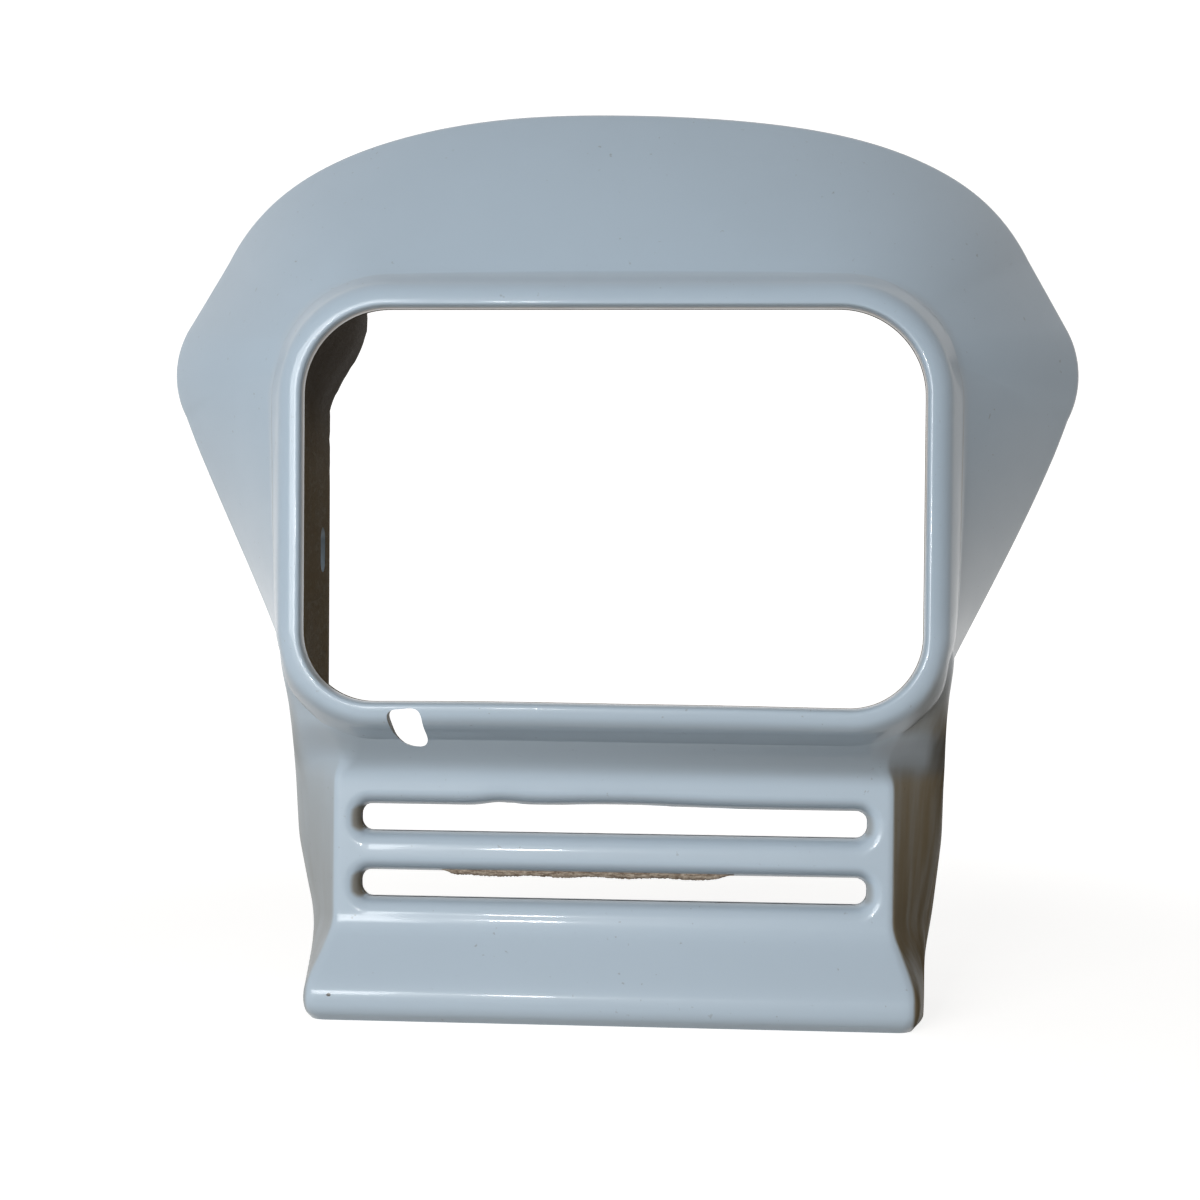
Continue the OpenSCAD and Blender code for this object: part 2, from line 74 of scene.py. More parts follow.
# The bead round the window: its crest's place, how far and how deep it falls outwards, its slope
CREST, BEAD_OUT, BEAD_DEEP, BEAD_SLOPE = -4.4, 2.2, 4.1, 1.8
# How far the fillet at the shield's root reaches, at most and as a share of the shield's width
ROOT_FILLET, ROOT_FILLET_SHARE = 6.2, 0.62
# How far the fillet reaches where the rim meets the lower front
FOOT_FILLET = 5.6
# Lengths of rim over which the shield's section and its direction fade into the lower front's
SECTION_FADE, TURN_FADE = 13.0, 16.0
# The slots' rolled mouths: width, depth and roundness
ROLL_W, ROLL_D, ROLL_POWER = 4.6, 5.0, 1.7

RIM_X, RIM_Z = WINDOW_W / 2 + RIM_W, WINDOW_H / 2 + RIM_W
RIM_R, RIM_FOOT_R = WINDOW_TOP_R + RIM_W, WINDOW_FOOT_R + RIM_W
RIM_FLAT, RIM_ARC = RIM_X - RIM_R, RIM_R * math.pi / 2
RIM_SIDE = 2 * RIM_Z - RIM_R - RIM_FOOT_R
RIM_FOOT_ARC = RIM_FOOT_R * math.pi / 2
RIM_HALF = RIM_FLAT + RIM_ARC + RIM_SIDE + RIM_FOOT_ARC + RIM_X - RIM_FOOT_R
GRILLE_TOP = -RIM_Z - VALLEY_H
GRILLE_FOOT = GRILLE_TOP - GRILLE_H
LIP_TOP = GRILLE_FOOT - FLARE_H
LIP_FOOT = LIP_TOP - LIP_H
SLOT_Z = (GRILLE_TOP - SLOT_DROP, GRILLE_TOP - SLOT_DROP - SLOT_PITCH)
WALL_STEP_X = RIM_X + WALL_STEP
WALL_REAR_X = WALL_STEP_X + WALL_SPREAD
WALL_TOP_X, WALL_TOP = RIM_X - 12, REAR_TOP + 33
WEB_TOP = WINDOW_FOOT_R - WINDOW_H / 2

TIP_TURN = SIDE_ANGLE + WING_ANGLE
TIP_CUT = TIP_R * math.tan(TIP_TURN / 2)
SIDE_DIR = np.array([math.sin(SIDE_ANGLE), -math.cos(SIDE_ANGLE)])
WING_DIR = np.array([-math.sin(WING_ANGLE), -math.cos(WING_ANGLE)])
TIP_CORNER = np.array([SHIELD_W / 2 + TIP_R * (1 / math.cos(TIP_TURN / 2) - 1), TIP_H])
SHOULDER = TIP_CORNER - SIDE_DIR * (SHOULDER_H - TIP_H) / math.cos(SIDE_ANGLE)
WING_START = TIP_CORNER + WING_DIR * TIP_CUT
WING_LEN = (WING_START[0] - RIM_X - WING_FOOT_OUT) / math.sin(WING_ANGLE)
WING_FOOT = WING_START + WING_DIR * WING_LEN
# Lengths along the rim, from its top middle, that face the shoulder, the tip and the wing's foot
SHOULDER_RUN, TIP_RUN = RIM_FLAT + RIM_ARC * 0.48, RIM_FLAT + RIM_ARC * 0.72
WING_FOOT_RUN = RIM_FLAT + RIM_ARC + RIM_Z - RIM_R - WING_FOOT[1] - WING_FOOT_SLANT

# Numbers of stations along the crown, side, tip, wing and foot, and of columns round a corner and
# along a side
CROWN_STEPS, SIDE_STEPS, TIP_STEPS, WING_STEPS, FOOT_STEPS = 60, 10, 16, 36, 84
CORNER_COLS, SIDE_COLS = 10, 24
# Numbers of points along a section: fillet, face, rounded edge, hem, edge's inside and back
FILLET_N, FACE_N, EDGE_N, HEM_N, TURN_N, BACK_N = 9, 18, 8, 6, 6, 14


def mix(a, b, t):
    return a + (b - a) * t


def ease(t):
    t = min(max(t, 0.0), 1.0)
    return t * t * (3 - 2 * t)


def unit(v):
    v = np.asarray(v, float)
    return v / np.linalg.norm(v)


def rim_point(run):
    """Point on the rim's outer edge and its outward normal, at a length from the top middle."""
    if run < RIM_FLAT:
        return np.array([run, RIM_Z]), np.array([0.0, 1.0])
    run -= RIM_FLAT
    if run < RIM_ARC:
        n = np.array([math.sin(run / RIM_R), math.cos(run / RIM_R)])
        return np.array([RIM_FLAT, RIM_Z - RIM_R]) + RIM_R * n, n
    run -= RIM_ARC
    if run < RIM_SIDE:
        return np.array([RIM_X, RIM_Z - RIM_R - run]), np.array([1.0, 0.0])
    run -= RIM_SIDE
    if run < RIM_FOOT_ARC:
        n = np.array([math.cos(run / RIM_FOOT_R), -math.sin(run / RIM_FOOT_R)])
        return np.array([RIM_X - RIM_FOOT_R, RIM_FOOT_R - RIM_Z]) + RIM_FOOT_R * n, n
    run -= RIM_FOOT_ARC
    return np.array([RIM_X - RIM_FOOT_R - run, -RIM_Z]), np.array([0.0, -1.0])


# Stations of the shield's loft
def crown_station(t):
    """Length along the rim, edge point and edge depth on the crown, as for the next three."""
    a, b = np.array([0, CROWN_H]), np.array([CROWN_FLAT, CROWN_H])
    c, e = SHOULDER - SIDE_DIR * SHOULDER_REACH, SHOULDER
    edge = a * (1 - t) ** 3 + 3 * b * t * (1 - t) ** 2 + 3 * c * t * t * (1 - t) + e * t ** 3
    s = edge[0] / SHOULDER[0]
    return SHOULDER_RUN * s, edge, mix(CROWN_DEPTH, SHOULDER_DEPTH, s * s)


def side_station(t):
    return (mix(SHOULDER_RUN, TIP_RUN - 3, t), mix(SHOULDER, TIP_CORNER - SIDE_DIR * TIP_CUT, t),
            mix(SHOULDER_DEPTH, TIP_DEPTH, t))


def tip_station(t):
    a, lean = mix(SIDE_ANGLE, -WING_ANGLE, t), (SIDE_ANGLE - WING_ANGLE) / 2
    middle = TIP_CORNER - np.array([math.cos(lean), math.sin(lean)]) * TIP_R / math.cos(TIP_TURN / 2)
    return (TIP_RUN + mix(-3, 3, t), middle + TIP_R * np.array([math.cos(a), math.sin(a)]),
            TIP_DEPTH)


def wing_station(t):
    out = np.array([math.cos(WING_ANGLE), -math.sin(WING_ANGLE)])
    return (mix(TIP_RUN + 3, WING_FOOT_RUN, t),
            WING_START + WING_DIR * WING_LEN * t + out * WING_BOW * 4 * t * (1 - t),
            mix(TIP_DEPTH, WING_FOOT_DEPTH, t ** 3))


def half_stations():
    """Rim point, rim normal, direction outwards and section, from the top middle round to the
    bottom middle."""
    upper = [crown_station(i / CROWN_STEPS) for i in range(CROWN_STEPS + 1)]
    for station, steps in ((side_station, SIDE_STEPS), (tip_station, TIP_STEPS),
                           (wing_station, WING_STEPS)):
        upper += [station(i / steps) for i in range(1, steps + 1)]
    out = []
    for run, edge, depth in upper:
        p, n = rim_point(run)
        section = shield_section(np.linalg.norm(edge - p), depth, ROOT_DEPTH)
        out.append((p, n, unit(edge - p), np.array(section)))
    wing_dir, wing_section = out[-1][2], out[-1][3]
    for i in range(1, FOOT_STEPS + 1):
        s = (RIM_HALF - WING_FOOT_RUN) * i / FOOT_STEPS
        p, n = rim_point(WING_FOOT_RUN + s)
        section = mix(wing_section, np.array(foot_section(p, n)), ease(s / SECTION_FADE))
        out.append((p, n, unit(mix(wing_dir, n, ease(s / TURN_FADE))), section))
    return out


def bead_points(reach=1.0):
    """The rounded rim: its inner side, its crest, and a longer fall outwards."""
    half = CREST + RIM_W
    pts = []
    for k in range(10):
        a = math.pi - math.pi / 2 * k / 9
        c, s = math.cos(a), math.sin(a)
        pts.append((CREST + half * math.copysign(abs(c) ** 0.86, c), 3.4 - 3.4 * s ** 0.86))
    out, deep = BEAD_OUT * reach, BEAD_DEEP * mix(0.8, 1, reach)
    ctrl = out - deep / BEAD_SLOPE
    for k in range(1, 10):
        t = k / 9
        pts.append((mix(mix(CREST, ctrl, t), mix(ctrl, out, t), t), mix(0, mix(0, deep, t), t)))
    return pts


def fillet_points(r_from, d_from, r_end, d_end, slope):
    """A concave curve from the rim's steep outer side into a surface of the given slope."""
    slope = min(slope, BEAD_SLOPE - 0.25)
    r = (d_end - slope * r_end - d_from + BEAD_SLOPE * r_from) / (BEAD_SLOPE - slope)
    r = min(max(r, r_from + 0.1), r_end - 0.1)
    d = mix(d_from, d_end, (r - r_from) / (r_end - r_from)) if r <= r_from + 0.11 else (
        d_from + BEAD_SLOPE * (r - r_from))
    return [(mix(mix(r_from, r, t), mix(r, r_end, t), t), mix(mix(d_from, d, t), mix(d, d_end, t), t))
            for t in [k / FILLET_N for k in range(1, FILLET_N + 1)]]


SEAT_POINTS = [(0.0, RIM_D), (-WALL, RIM_D), (-WALL, RIM_W), (-RIM_W, RIM_W), (-RIM_W, 4.4)]


def shield_section(run, depth, root):
    """Closed section of the rim and shield at a station: (distance out, depth)."""
    rise = depth - root

    def at(r):
        v = r / run
        return root + rise * (v * (1 - LATE_SWEEP) + LATE_SWEEP * v * v)

    def slope(r):
        return rise / run * (1 - LATE_SWEEP + 2 * LATE_SWEEP * r / run)

    t, er = WALL, EDGE_R
    fw = min(ROOT_FILLET, run * ROOT_FILLET_SHARE)
    reach = min(1.0, run / 9)
    edge_a = math.atan(slope(run))
    end_run = run - er * (1 - math.sin(edge_a))
    centre = (run - er, at(end_run) + er * math.cos(edge_a))
    pts = bead_points(reach)
    pts += fillet_points(pts[-1][0], pts[-1][1], fw, at(fw), slope(fw))
    for k in range(1, FACE_N + 1):
        r = mix(fw, end_run, k / FACE_N)
        pts.append((r, at(r)))
    for k in range(1, EDGE_N + 1):
        a = mix(edge_a, math.pi / 2, k / EDGE_N)
        pts.append((centre[0] + er * math.sin(a), centre[1] - er * math.cos(a)))
    for k in range(1, HEM_N + 1):
        a = math.pi * k / (HEM_N + 1)
        pts.append((centre[0] + er - t / 2 + t / 2 * math.cos(a),
                    centre[1] + HEM + t * 0.35 * math.sin(a)))
    for k in range(TURN_N):
        a = mix(math.pi / 2, edge_a, k / (TURN_N - 1))
        pts.append((centre[0] + (er - t) * math.sin(a), centre[1] - (er - t) * math.cos(a)))
    for k in range(1, BACK_N + 1):
        r = mix(end_run, fw, k / BACK_N)
        a = math.atan(slope(r))
        pts.append((r - t * math.sin(a), at(r) + t * math.cos(a)))
    return pts + [(0.0, root + t)] + SEAT_POINTS


def foot_section(p, n):
    """Section where the rim meets the lower front: a fillet that dips under the front's skin."""
    r_end = FOOT_FILLET
    q = p + n * r_end
    d_end = front_depth(q[0], q[1])
    q2 = p + n * (r_end - 1)
    slope = min(max(d_end - front_depth(q2[0], q2[1]), 0.2), 2.5)
    pts = bead_points()
    pts += fillet_points(pts[-1][0], pts[-1][1], r_end, d_end + 0.02, slope)
    dips = FACE_N + EDGE_N + HEM_N
    for k in range(1, dips + 1):
        dip = k / dips * 1.6
        pts.append((r_end + dip * 0.7, d_end + 0.02 + slope * dip * 0.7 + dip))
    backs = TURN_N + BACK_N
    for k in range(1, backs + 1):
        t = k / backs
        pts.append((mix(r_end + 1.1, 1.0, t), mix(d_end + slope + 2.6, RIM_D - 1, t)))
    return pts + [(0.0, RIM_D - 0.6)] + SEAT_POINTS


# Raw surface starts halfway round the hem
RAW_FROM = len(bead_points()) + FILLET_N + FACE_N + EDGE_N + HEM_N // 2


class Builder:
    """Collects points and faces of one mesh. A face's material is 0 for gloss and 1 for raw."""

    def __init__(self):
        self.points, self.faces, self.mats = [], [], []

    def add(self, pts):
        first = len(self.points)
        self.points.extend(tuple(p) for p in pts)
        return first

    def face(self, idx, mat=0):
        self.faces.append(idx)
        self.mats.append(mat)

    def loft(self, loops, mats=None, closed=False, cap=True):
        """Joins closed loops of equal length. The list mats gives each side strip's material."""
        n = len(loops[0])
        starts = [self.add(loop) for loop in loops]
        count = len(loops) if closed else len(loops) - 1
        for i in range(count):
            a, b = starts[i], starts[(i + 1) % len(loops)]
            for k in range(n):
                m = mats[k] if mats else 0
                self.face((a + k, a + (k + 1) % n, b + (k + 1) % n, b + k), m)
        if cap and not closed:
            self.face(tuple(starts[0] + k for k in reversed(range(n))), mats[0] if mats else 0)
            self.face(tuple(starts[-1] + k for k in range(n)), mats[0] if mats else 0)

    def object(self, name):
        me = bpy.data.meshes.new(name)
        me.from_pydata([tuple(p) for p in to_row(self.points)], [], self.faces)
        me.polygons.foreach_set("material_index", self.mats)
        me.validate()
        bm = bmesh.new()
        bm.from_mesh(me)
        loose = [v for v in bm.verts if not v.link_faces]
        bmesh.ops.delete(bm, geom=loose, context="VERTS")
        bmesh.ops.recalc_face_normals(bm, faces=bm.faces[:])
        bm.to_mesh(me)
        bm.free()
        ob = bpy.data.objects.new(name, me)
        bpy.context.scene.collection.objects.link(ob)
        return ob


# The rim and shield
def build_ring():
    """The rim and shield, one closed loft right round the window."""
    half = half_stations()
    loops = []
    for sign, stations in ((1, half), (-1, list(reversed(half[1:-1])))):
        for p, n, d, section in stations:
            loop = []
            for r, dep in section:
                q = p + (n * r if r <= 0 else n * min(r, 1.1) + d * max(r - 1.1, 0))
                loop.append((sign * q[0], dep, q[1]))
            loops.append(loop)
    count = len(loops[0])
    mats = [1 if RAW_FROM <= k < count - 1 else 0 for k in range(count)]
    b = Builder()
    b.loft(loops, mats, closed=True)
    return b.object("cowl_shell")


# The side walls and lower front
def lower_levels():
    """Height, front depth, half width, corner radius, knee x and depth, rear x and depth."""
    half_foot, half_grille = FOOT_W / 2, GRILLE_W / 2
    return [
        (LIP_FOOT - 2, LIP_D + 5.4, LIP_W / 2 - 4.5, 5.5, half_foot - 3.4, 27, half_foot - 0.5, FOOT_D),
        (LIP_FOOT, LIP_D + 2.6, LIP_W / 2 - 2.7, 5.0, half_foot - 3.1, 27, half_foot, FOOT_D),
        (LIP_FOOT + 2, LIP_D + 0.6, LIP_W / 2 - 1.6, 4.6, half_foot - 2.9, 27, half_foot, FOOT_D),
        (LIP_FOOT + 5, LIP_D - 0.8, LIP_W / 2 - 1.0, 4.4, half_foot - 2.9, 27, half_foot, FOOT_D),
        (LIP_TOP - 4, LIP_D - 1.3, LIP_W / 2 - 1.0, 4.2, half_foot - 2.9, 27, half_foot, FOOT_D),
        (LIP_TOP - 2, LIP_D - 0.9, LIP_W / 2 - 1.2, 4.0, half_foot - 2.9, 27, half_foot, FOOT_D),
        (LIP_TOP + 1.0, LIP_D + 0.9, LIP_W / 2 - 1.6, 3.8, half_foot - 2.9, 27.5, half_foot, FOOT_D + 1),
        (GRILLE_FOOT, GRILLE_D, half_grille, GRILLE_R, half_foot - 2.4, 40, half_foot + 2.6, FOOT_D + 3),
        (GRILLE_FOOT + GRILLE_H / 2, GRILLE_D, half_grille, GRILLE_R, WALL_STEP_X - 0.6, 40,
         WALL_REAR_X - 1, GRILLE_REAR_D - 4),
        (GRILLE_TOP - 2, GRILLE_D, half_grille, GRILLE_R, WALL_STEP_X, 36, WALL_REAR_X, GRILLE_REAR_D),
        (GRILLE_TOP + 0.5, 16.5, half_grille + 0.3, 6, WALL_STEP_X, 34, WALL_REAR_X, GRILLE_REAR_D + 2),
        (GRILLE_TOP + 3.4, 15.2, 89, 10, WALL_STEP_X, 32, WALL_REAR_X, GRILLE_REAR_D + 7),
        (GRILLE_TOP + 6.5, 12.9, 90.2, 13, WALL_STEP_X, 29.5, WALL_REAR_X, GRILLE_REAR_D + 13),
        (-RIM_Z - 5.4, 9.4, 92, 15, WALL_STEP_X, 26.5, WALL_REAR_X, WALL_D - 6),
        (-RIM_Z - 1, 5.6, 94, 16, WALL_STEP_X, 24, WALL_REAR_X, WALL_D),
        (-RIM_Z + 3.1, 6, 95.5, 15, WALL_STEP_X + 0.2, 22.5, WALL_REAR_X, WALL_D),
        (-RIM_Z + 9.4, 6, 99.5, 13, WALL_STEP_X + 0.6, 21.5, WALL_REAR_X, WALL_D),
        (-RIM_Z + 15.7, 6, 101.3, 10, WALL_STEP_X + 1.4, 20.5, WALL_REAR_X, WALL_D),
        (-RIM_Z + 22, 6, 101.6, 6.5, WALL_STEP_X + 2.0, 21, WALL_REAR_X, WALL_D),
        (WEB_TOP, 6, RIM_X - 0.3, 3.5, WALL_STEP_X + 1.7, 23, WALL_REAR_X, WALL_D),
    ]


def blurred(z, values, sigma):
    """Values along z, each averaged with its neighbours over about sigma millimetres."""
    w = np.exp(-0.5 * ((z[:, None] - z[None, :]) / sigma[:, None]) ** 2)
    return (w / w.sum(1, keepdims=True)) @ values


def smooth_levels():
    """The levels on a fine run of heights with every bend rounded."""
    knots = np.array(lower_levels())
    z = np.arange(knots[0, 0], knots[-1, 0] + 0.01, 0.25)
    values = np.stack([np.interp(z, knots[:, 0], knots[:, k]) for k in range(1, 8)], axis=1)
    sigma = np.full(len(z), 1.9)
    for centre, reach, soft in ((LIP_FOOT + 2, 5, 0.9), (LIP_TOP - 2, 7, 1.3), (GRILLE_FOOT, 9, 2.7),
                                (GRILLE_TOP, 9, 1.3), (-RIM_Z - 4, 8, 1.3)):
        near = np.clip(1 - np.abs(z - centre) / reach, 0, 1)
        sigma = mix(sigma, soft, near)
    return z, np.concatenate([blurred(z, values[:, :3], sigma),
                              blurred(z, values[:, 3:], np.full(len(z), 2.5))], axis=1)


LEVEL_Z, LEVEL_V = smooth_levels()


def level_at(z):
    """The smoothed level at a height, as one row of lower_levels."""
    return [z] + [float(np.interp(z, LEVEL_Z, LEVEL_V[:, k])) for k in range(7)]


def corner_shape(lv):
    """The corner in plan at a level: arc centre, end angle, end point and knee."""
    c, knee = np.array([lv[2] - lv[3], lv[3] + lv[1]]), np.array([lv[4], lv[5]])
    to_knee = knee - c
    a_end = math.atan2(to_knee[1], to_knee[0]) - math.acos(lv[3] / np.linalg.norm(to_knee))
    return c, a_end, c + lv[3] * np.array([math.cos(a_end), math.sin(a_end)]), knee


def front_depth(x, z):
    """Depth of the lower front's skin at a place of the front view."""
    lv = level_at(z)
    c, _a, e, knee = corner_shape(lv)
    x = abs(x)
    if x <= c[0]:
        return lv[1]
    if x <= e[0]:
        return c[1] - math.sqrt(max(0.0, lv[3] ** 2 - (x - c[0]) ** 2))
    return e[1] + (x - e[0]) * (knee[1] - e[1]) / (knee[0] - e[0])


def side_curve(front, knee, rear, n):
    """Smooth side in plan through the source's points: (x, d) from front to rear."""
    a, b = mix(front, knee, 0.6), mix(knee, rear, 0.2)
    pts = []
    first = int(n * 0.22)
    for k in range(first):
        pts.append(mix(front, a, k / first))
    bend = int(n * 0.35)
    for k in range(bend + 1):
        t = k / bend
        pts.append(mix(mix(a, knee, t), mix(knee, b, t), t))
    rest = n - first - bend
    for k in range(1, rest):
        pts.append(mix(b, rear, k / (rest - 1)))
    return pts


def slot_rise(x):
    """How far the upper slot's upper edge stands above a straight line."""
    hollow = math.exp(-((x + 35.5) / (4.5 if x < -35.5 else 8.0)) ** 2)
    return 0.9 * hollow + 0.8 * math.exp(-((x - 2) / 24) ** 2)


def slot_distance(x, z):
    """Distance outside the nearer grille slot's edge, negative inside."""
    best, r = 1e9, SLOT_R + 0.8
    for zc in SLOT_Z:
        rise = slot_rise(x) if zc == SLOT_Z[0] and z > zc else 0
        qx = abs(x) - SLOT_W / 2 + r
        qz = abs(z - zc) - rise - SLOT_H / 2 + r
        s = math.hypot(max(qx, 0), max(qz, 0)) + min(max(qx, qz), 0) - r
        best = min(best, s)
    return best


def slot_roll_depth(x, z):
    """How far the slots' rolled mouths fall back from the grille face."""
    s = slot_distance(x, z)
    if s >= ROLL_W:
        return 0.0
    u = 1 - max(s, 0.0) / ROLL_W
    return ROLL_D * (1 - math.sqrt(max(0.0, 1 - u ** ROLL_POWER)))


def front_columns(width):
    """Shares of the flat front's half width, close together round the slots' ends."""
    x = [0.0]
    while x[-1] < width - 0.3:
        near = abs(x[-1] - (SLOT_W / 2 + 1.2))
        x.append(x[-1] + (0.55 if near < 4.2 else 1.2 if near < 8 else 3.4))
    return np.array(x[:-1] + [width]) / width


SHARES = front_columns(GRILLE_W / 2 - GRILLE_R)


def corner_row(lv):
    """One half of the lower front at a level: flat front, corner, side."""
    z, d, r = lv[0], lv[1], lv[3]
    c, a_end, e, knee = corner_shape(lv)
    row = [(c[0] * s, d, z) for s in SHARES[:-1]]
    for k in range(CORNER_COLS):
        a = mix(-math.pi / 2, a_end, k / CORNER_COLS)
        row.append((c[0] + r * math.cos(a), c[1] + r * math.sin(a), z))
    row += [(p[0], p[1], z) for p in side_curve(e, knee, np.array([lv[6], lv[7]]), SIDE_COLS)]
    return row


def crown_depth_at(x, z):
    """Depth of the crown's face at a place of the front view, found between its stations."""
    lo, hi = 0.0, 1.0
    for _ in range(20):
        mid = (lo + hi) / 2
        run, edge, depth = crown_station(mid)
        p, _n = rim_point(run)
        d, q = edge - p, np.array([x, z]) - p
        if d[0] * q[1] - d[1] * q[0] < 0:
            lo = mid
        else:
            hi = mid
    run, edge, depth = crown_station((lo + hi) / 2)
    p, _n = rim_point(run)
    length = np.linalg.norm(edge - p)
    v = min(max(np.dot(np.array([x, z]) - p, (edge - p) / length) / length, 0), 1)
    return ROOT_DEPTH + (depth - ROOT_DEPTH) * (v * (1 - LATE_SWEEP) + LATE_SWEEP * v * v)


def rim_x_at(z):
    """Half width of the rim's outer edge at a height."""
    up = z - (RIM_Z - RIM_R)
    return RIM_X if up <= 0 else RIM_FLAT + math.sqrt(max(0, RIM_R ** 2 - up * up))


def wall_row(z, lean):
    """One upper side wall at a height."""
    step = ease((z - LEAN_START) / (RIM_Z - LEAN_START))
    x0 = max(rim_x_at(z) - 0.3, WALL_TOP_X)
    x1 = WALL_REAR_X - lean * step
    sunk = crown_depth_at(x0, z) + 1.3
    d0 = mix(5.0, max(5.0, sunk), ease((z - RIM_Z + 12) / 12))
    top_d = crown_depth_at(WALL_TOP_X, WALL_TOP) + 3
    d1 = max(d0 + 4, mix(WALL_D, top_d, min(max((z - REAR_TOP) / (WALL_TOP - REAR_TOP), 0), 1)))
    t1 = (d1 - 5.0) / (WALL_D - 5.0)
    front, rear = np.array([x0, d0]), np.array([mix(x0, x1, t1), d1])
    knee = mix(front, rear, 0.25) + [WALL_STEP * (1 - step), 0]
    return [(p[0], p[1], z) for p in side_curve(front, knee, rear, SIDE_COLS)]


def level_heights():
    """Heights of the rows up to the rim's middle line, close together round slots and bends."""
    z, top = LIP_FOOT - 2, -RIM_Z + RIM_W / 2
    out = [z]
    while z < top - 0.05:
        step = 1.7
        for zc in SLOT_Z:
            for side in (-1, 1):
                if abs(z - zc - side * (SLOT_H / 2 + 1.6)) < 3.4:
                    step = min(step, 0.45)
        for bend in (LIP_FOOT + 3, LIP_TOP, GRILLE_FOOT, GRILLE_TOP, -RIM_Z - 1):
            if abs(z - bend) < 4:
                step = min(step, 0.7)
        z = min(z + step, top)
        out.append(z)
    return out


def half_skin(levels, lean):
    """One half of the outer skin, a row at each height from the foot to the crown. Above the
    window's foot the columns of the front stand ahead of the wall and carry no faces."""
    wall_z = ([mix(WEB_TOP, LEAN_START, k / 26) for k in range(1, 27)]
              + [mix(LEAN_START, RIM_Z, k / 16) for k in range(1, 17)]
              + [mix(RIM_Z, WALL_TOP, k / 18) for k in range(1, 19)])
    front = len(SHARES) - 1 + CORNER_COLS
    rows = [corner_row(lv) for lv in levels]
    for z in wall_z:
        line = wall_row(z, lean)
        rows.append([(line[0][0], line[0][1] - (front - k) * 0.3, z) for k in range(front)] + line)
    return np.array(rows)


def roll_slot_mouths(skin):
    """Moves the grille face back round both slots."""
    for i, j in np.ndindex(skin.shape[:2]):
        x, d, z = skin[i, j]
        if GRILLE_FOOT < z < GRILLE_TOP and abs(x) < GRILLE_W / 2 - 0.5 and d < GRILLE_D + 1.2:
            skin[i, j, 1] += slot_roll_depth(x, z)


def lining_of(skin):
    """The inner face, a wall's thickness in from the skin along smoothed normals."""
    du = np.gradient(skin, axis=1)
    dv = np.gradient(skin, axis=0)
    n = np.cross(dv, du)
    n /= np.maximum(np.linalg.norm(n, axis=2, keepdims=True), 1e-9)
    for _ in range(6):
        n[1:-1] = (n[:-2] + 2 * n[1:-1] + n[2:]) / 4
        n[:, 1:-1] = (n[:, :-2] + 2 * n[:, 1:-1] + n[:, 2:]) / 4
        n /= np.maximum(np.linalg.norm(n, axis=2, keepdims=True), 1e-9)
    lining = skin + WALL * n
    lining[:, 0, 1] = skin[:, 0, 1]
    lining[:, -1, 1] = skin[:, -1, 1]
    return lining


def web_limit(z):
    """How far from the middle the web at the window's lower corners ends, at a height."""
    down = WEB_TOP - z
    r = WINDOW_FOOT_R + RIM_W / 2
    return WINDOW_W / 2 - WINDOW_FOOT_R + (0 if down >= r else math.sqrt(r * r - down * down))


def rear_edge_points(skin, lining, j, inner):
    """Three points a row on the half ellipse that rounds a rear edge from skin to lining."""
    pts = []
    for s, back, ahead in zip(skin[:, j], lining[:, j], skin[:, inner]):
        out = unit(s - ahead)
        pts += [mix(s, back, 0.5 - 0.5 * math.cos(math.pi * k / 4))
                + out * 0.9 * math.sin(math.pi * k / 4) for k in range(1, 4)]
    return pts


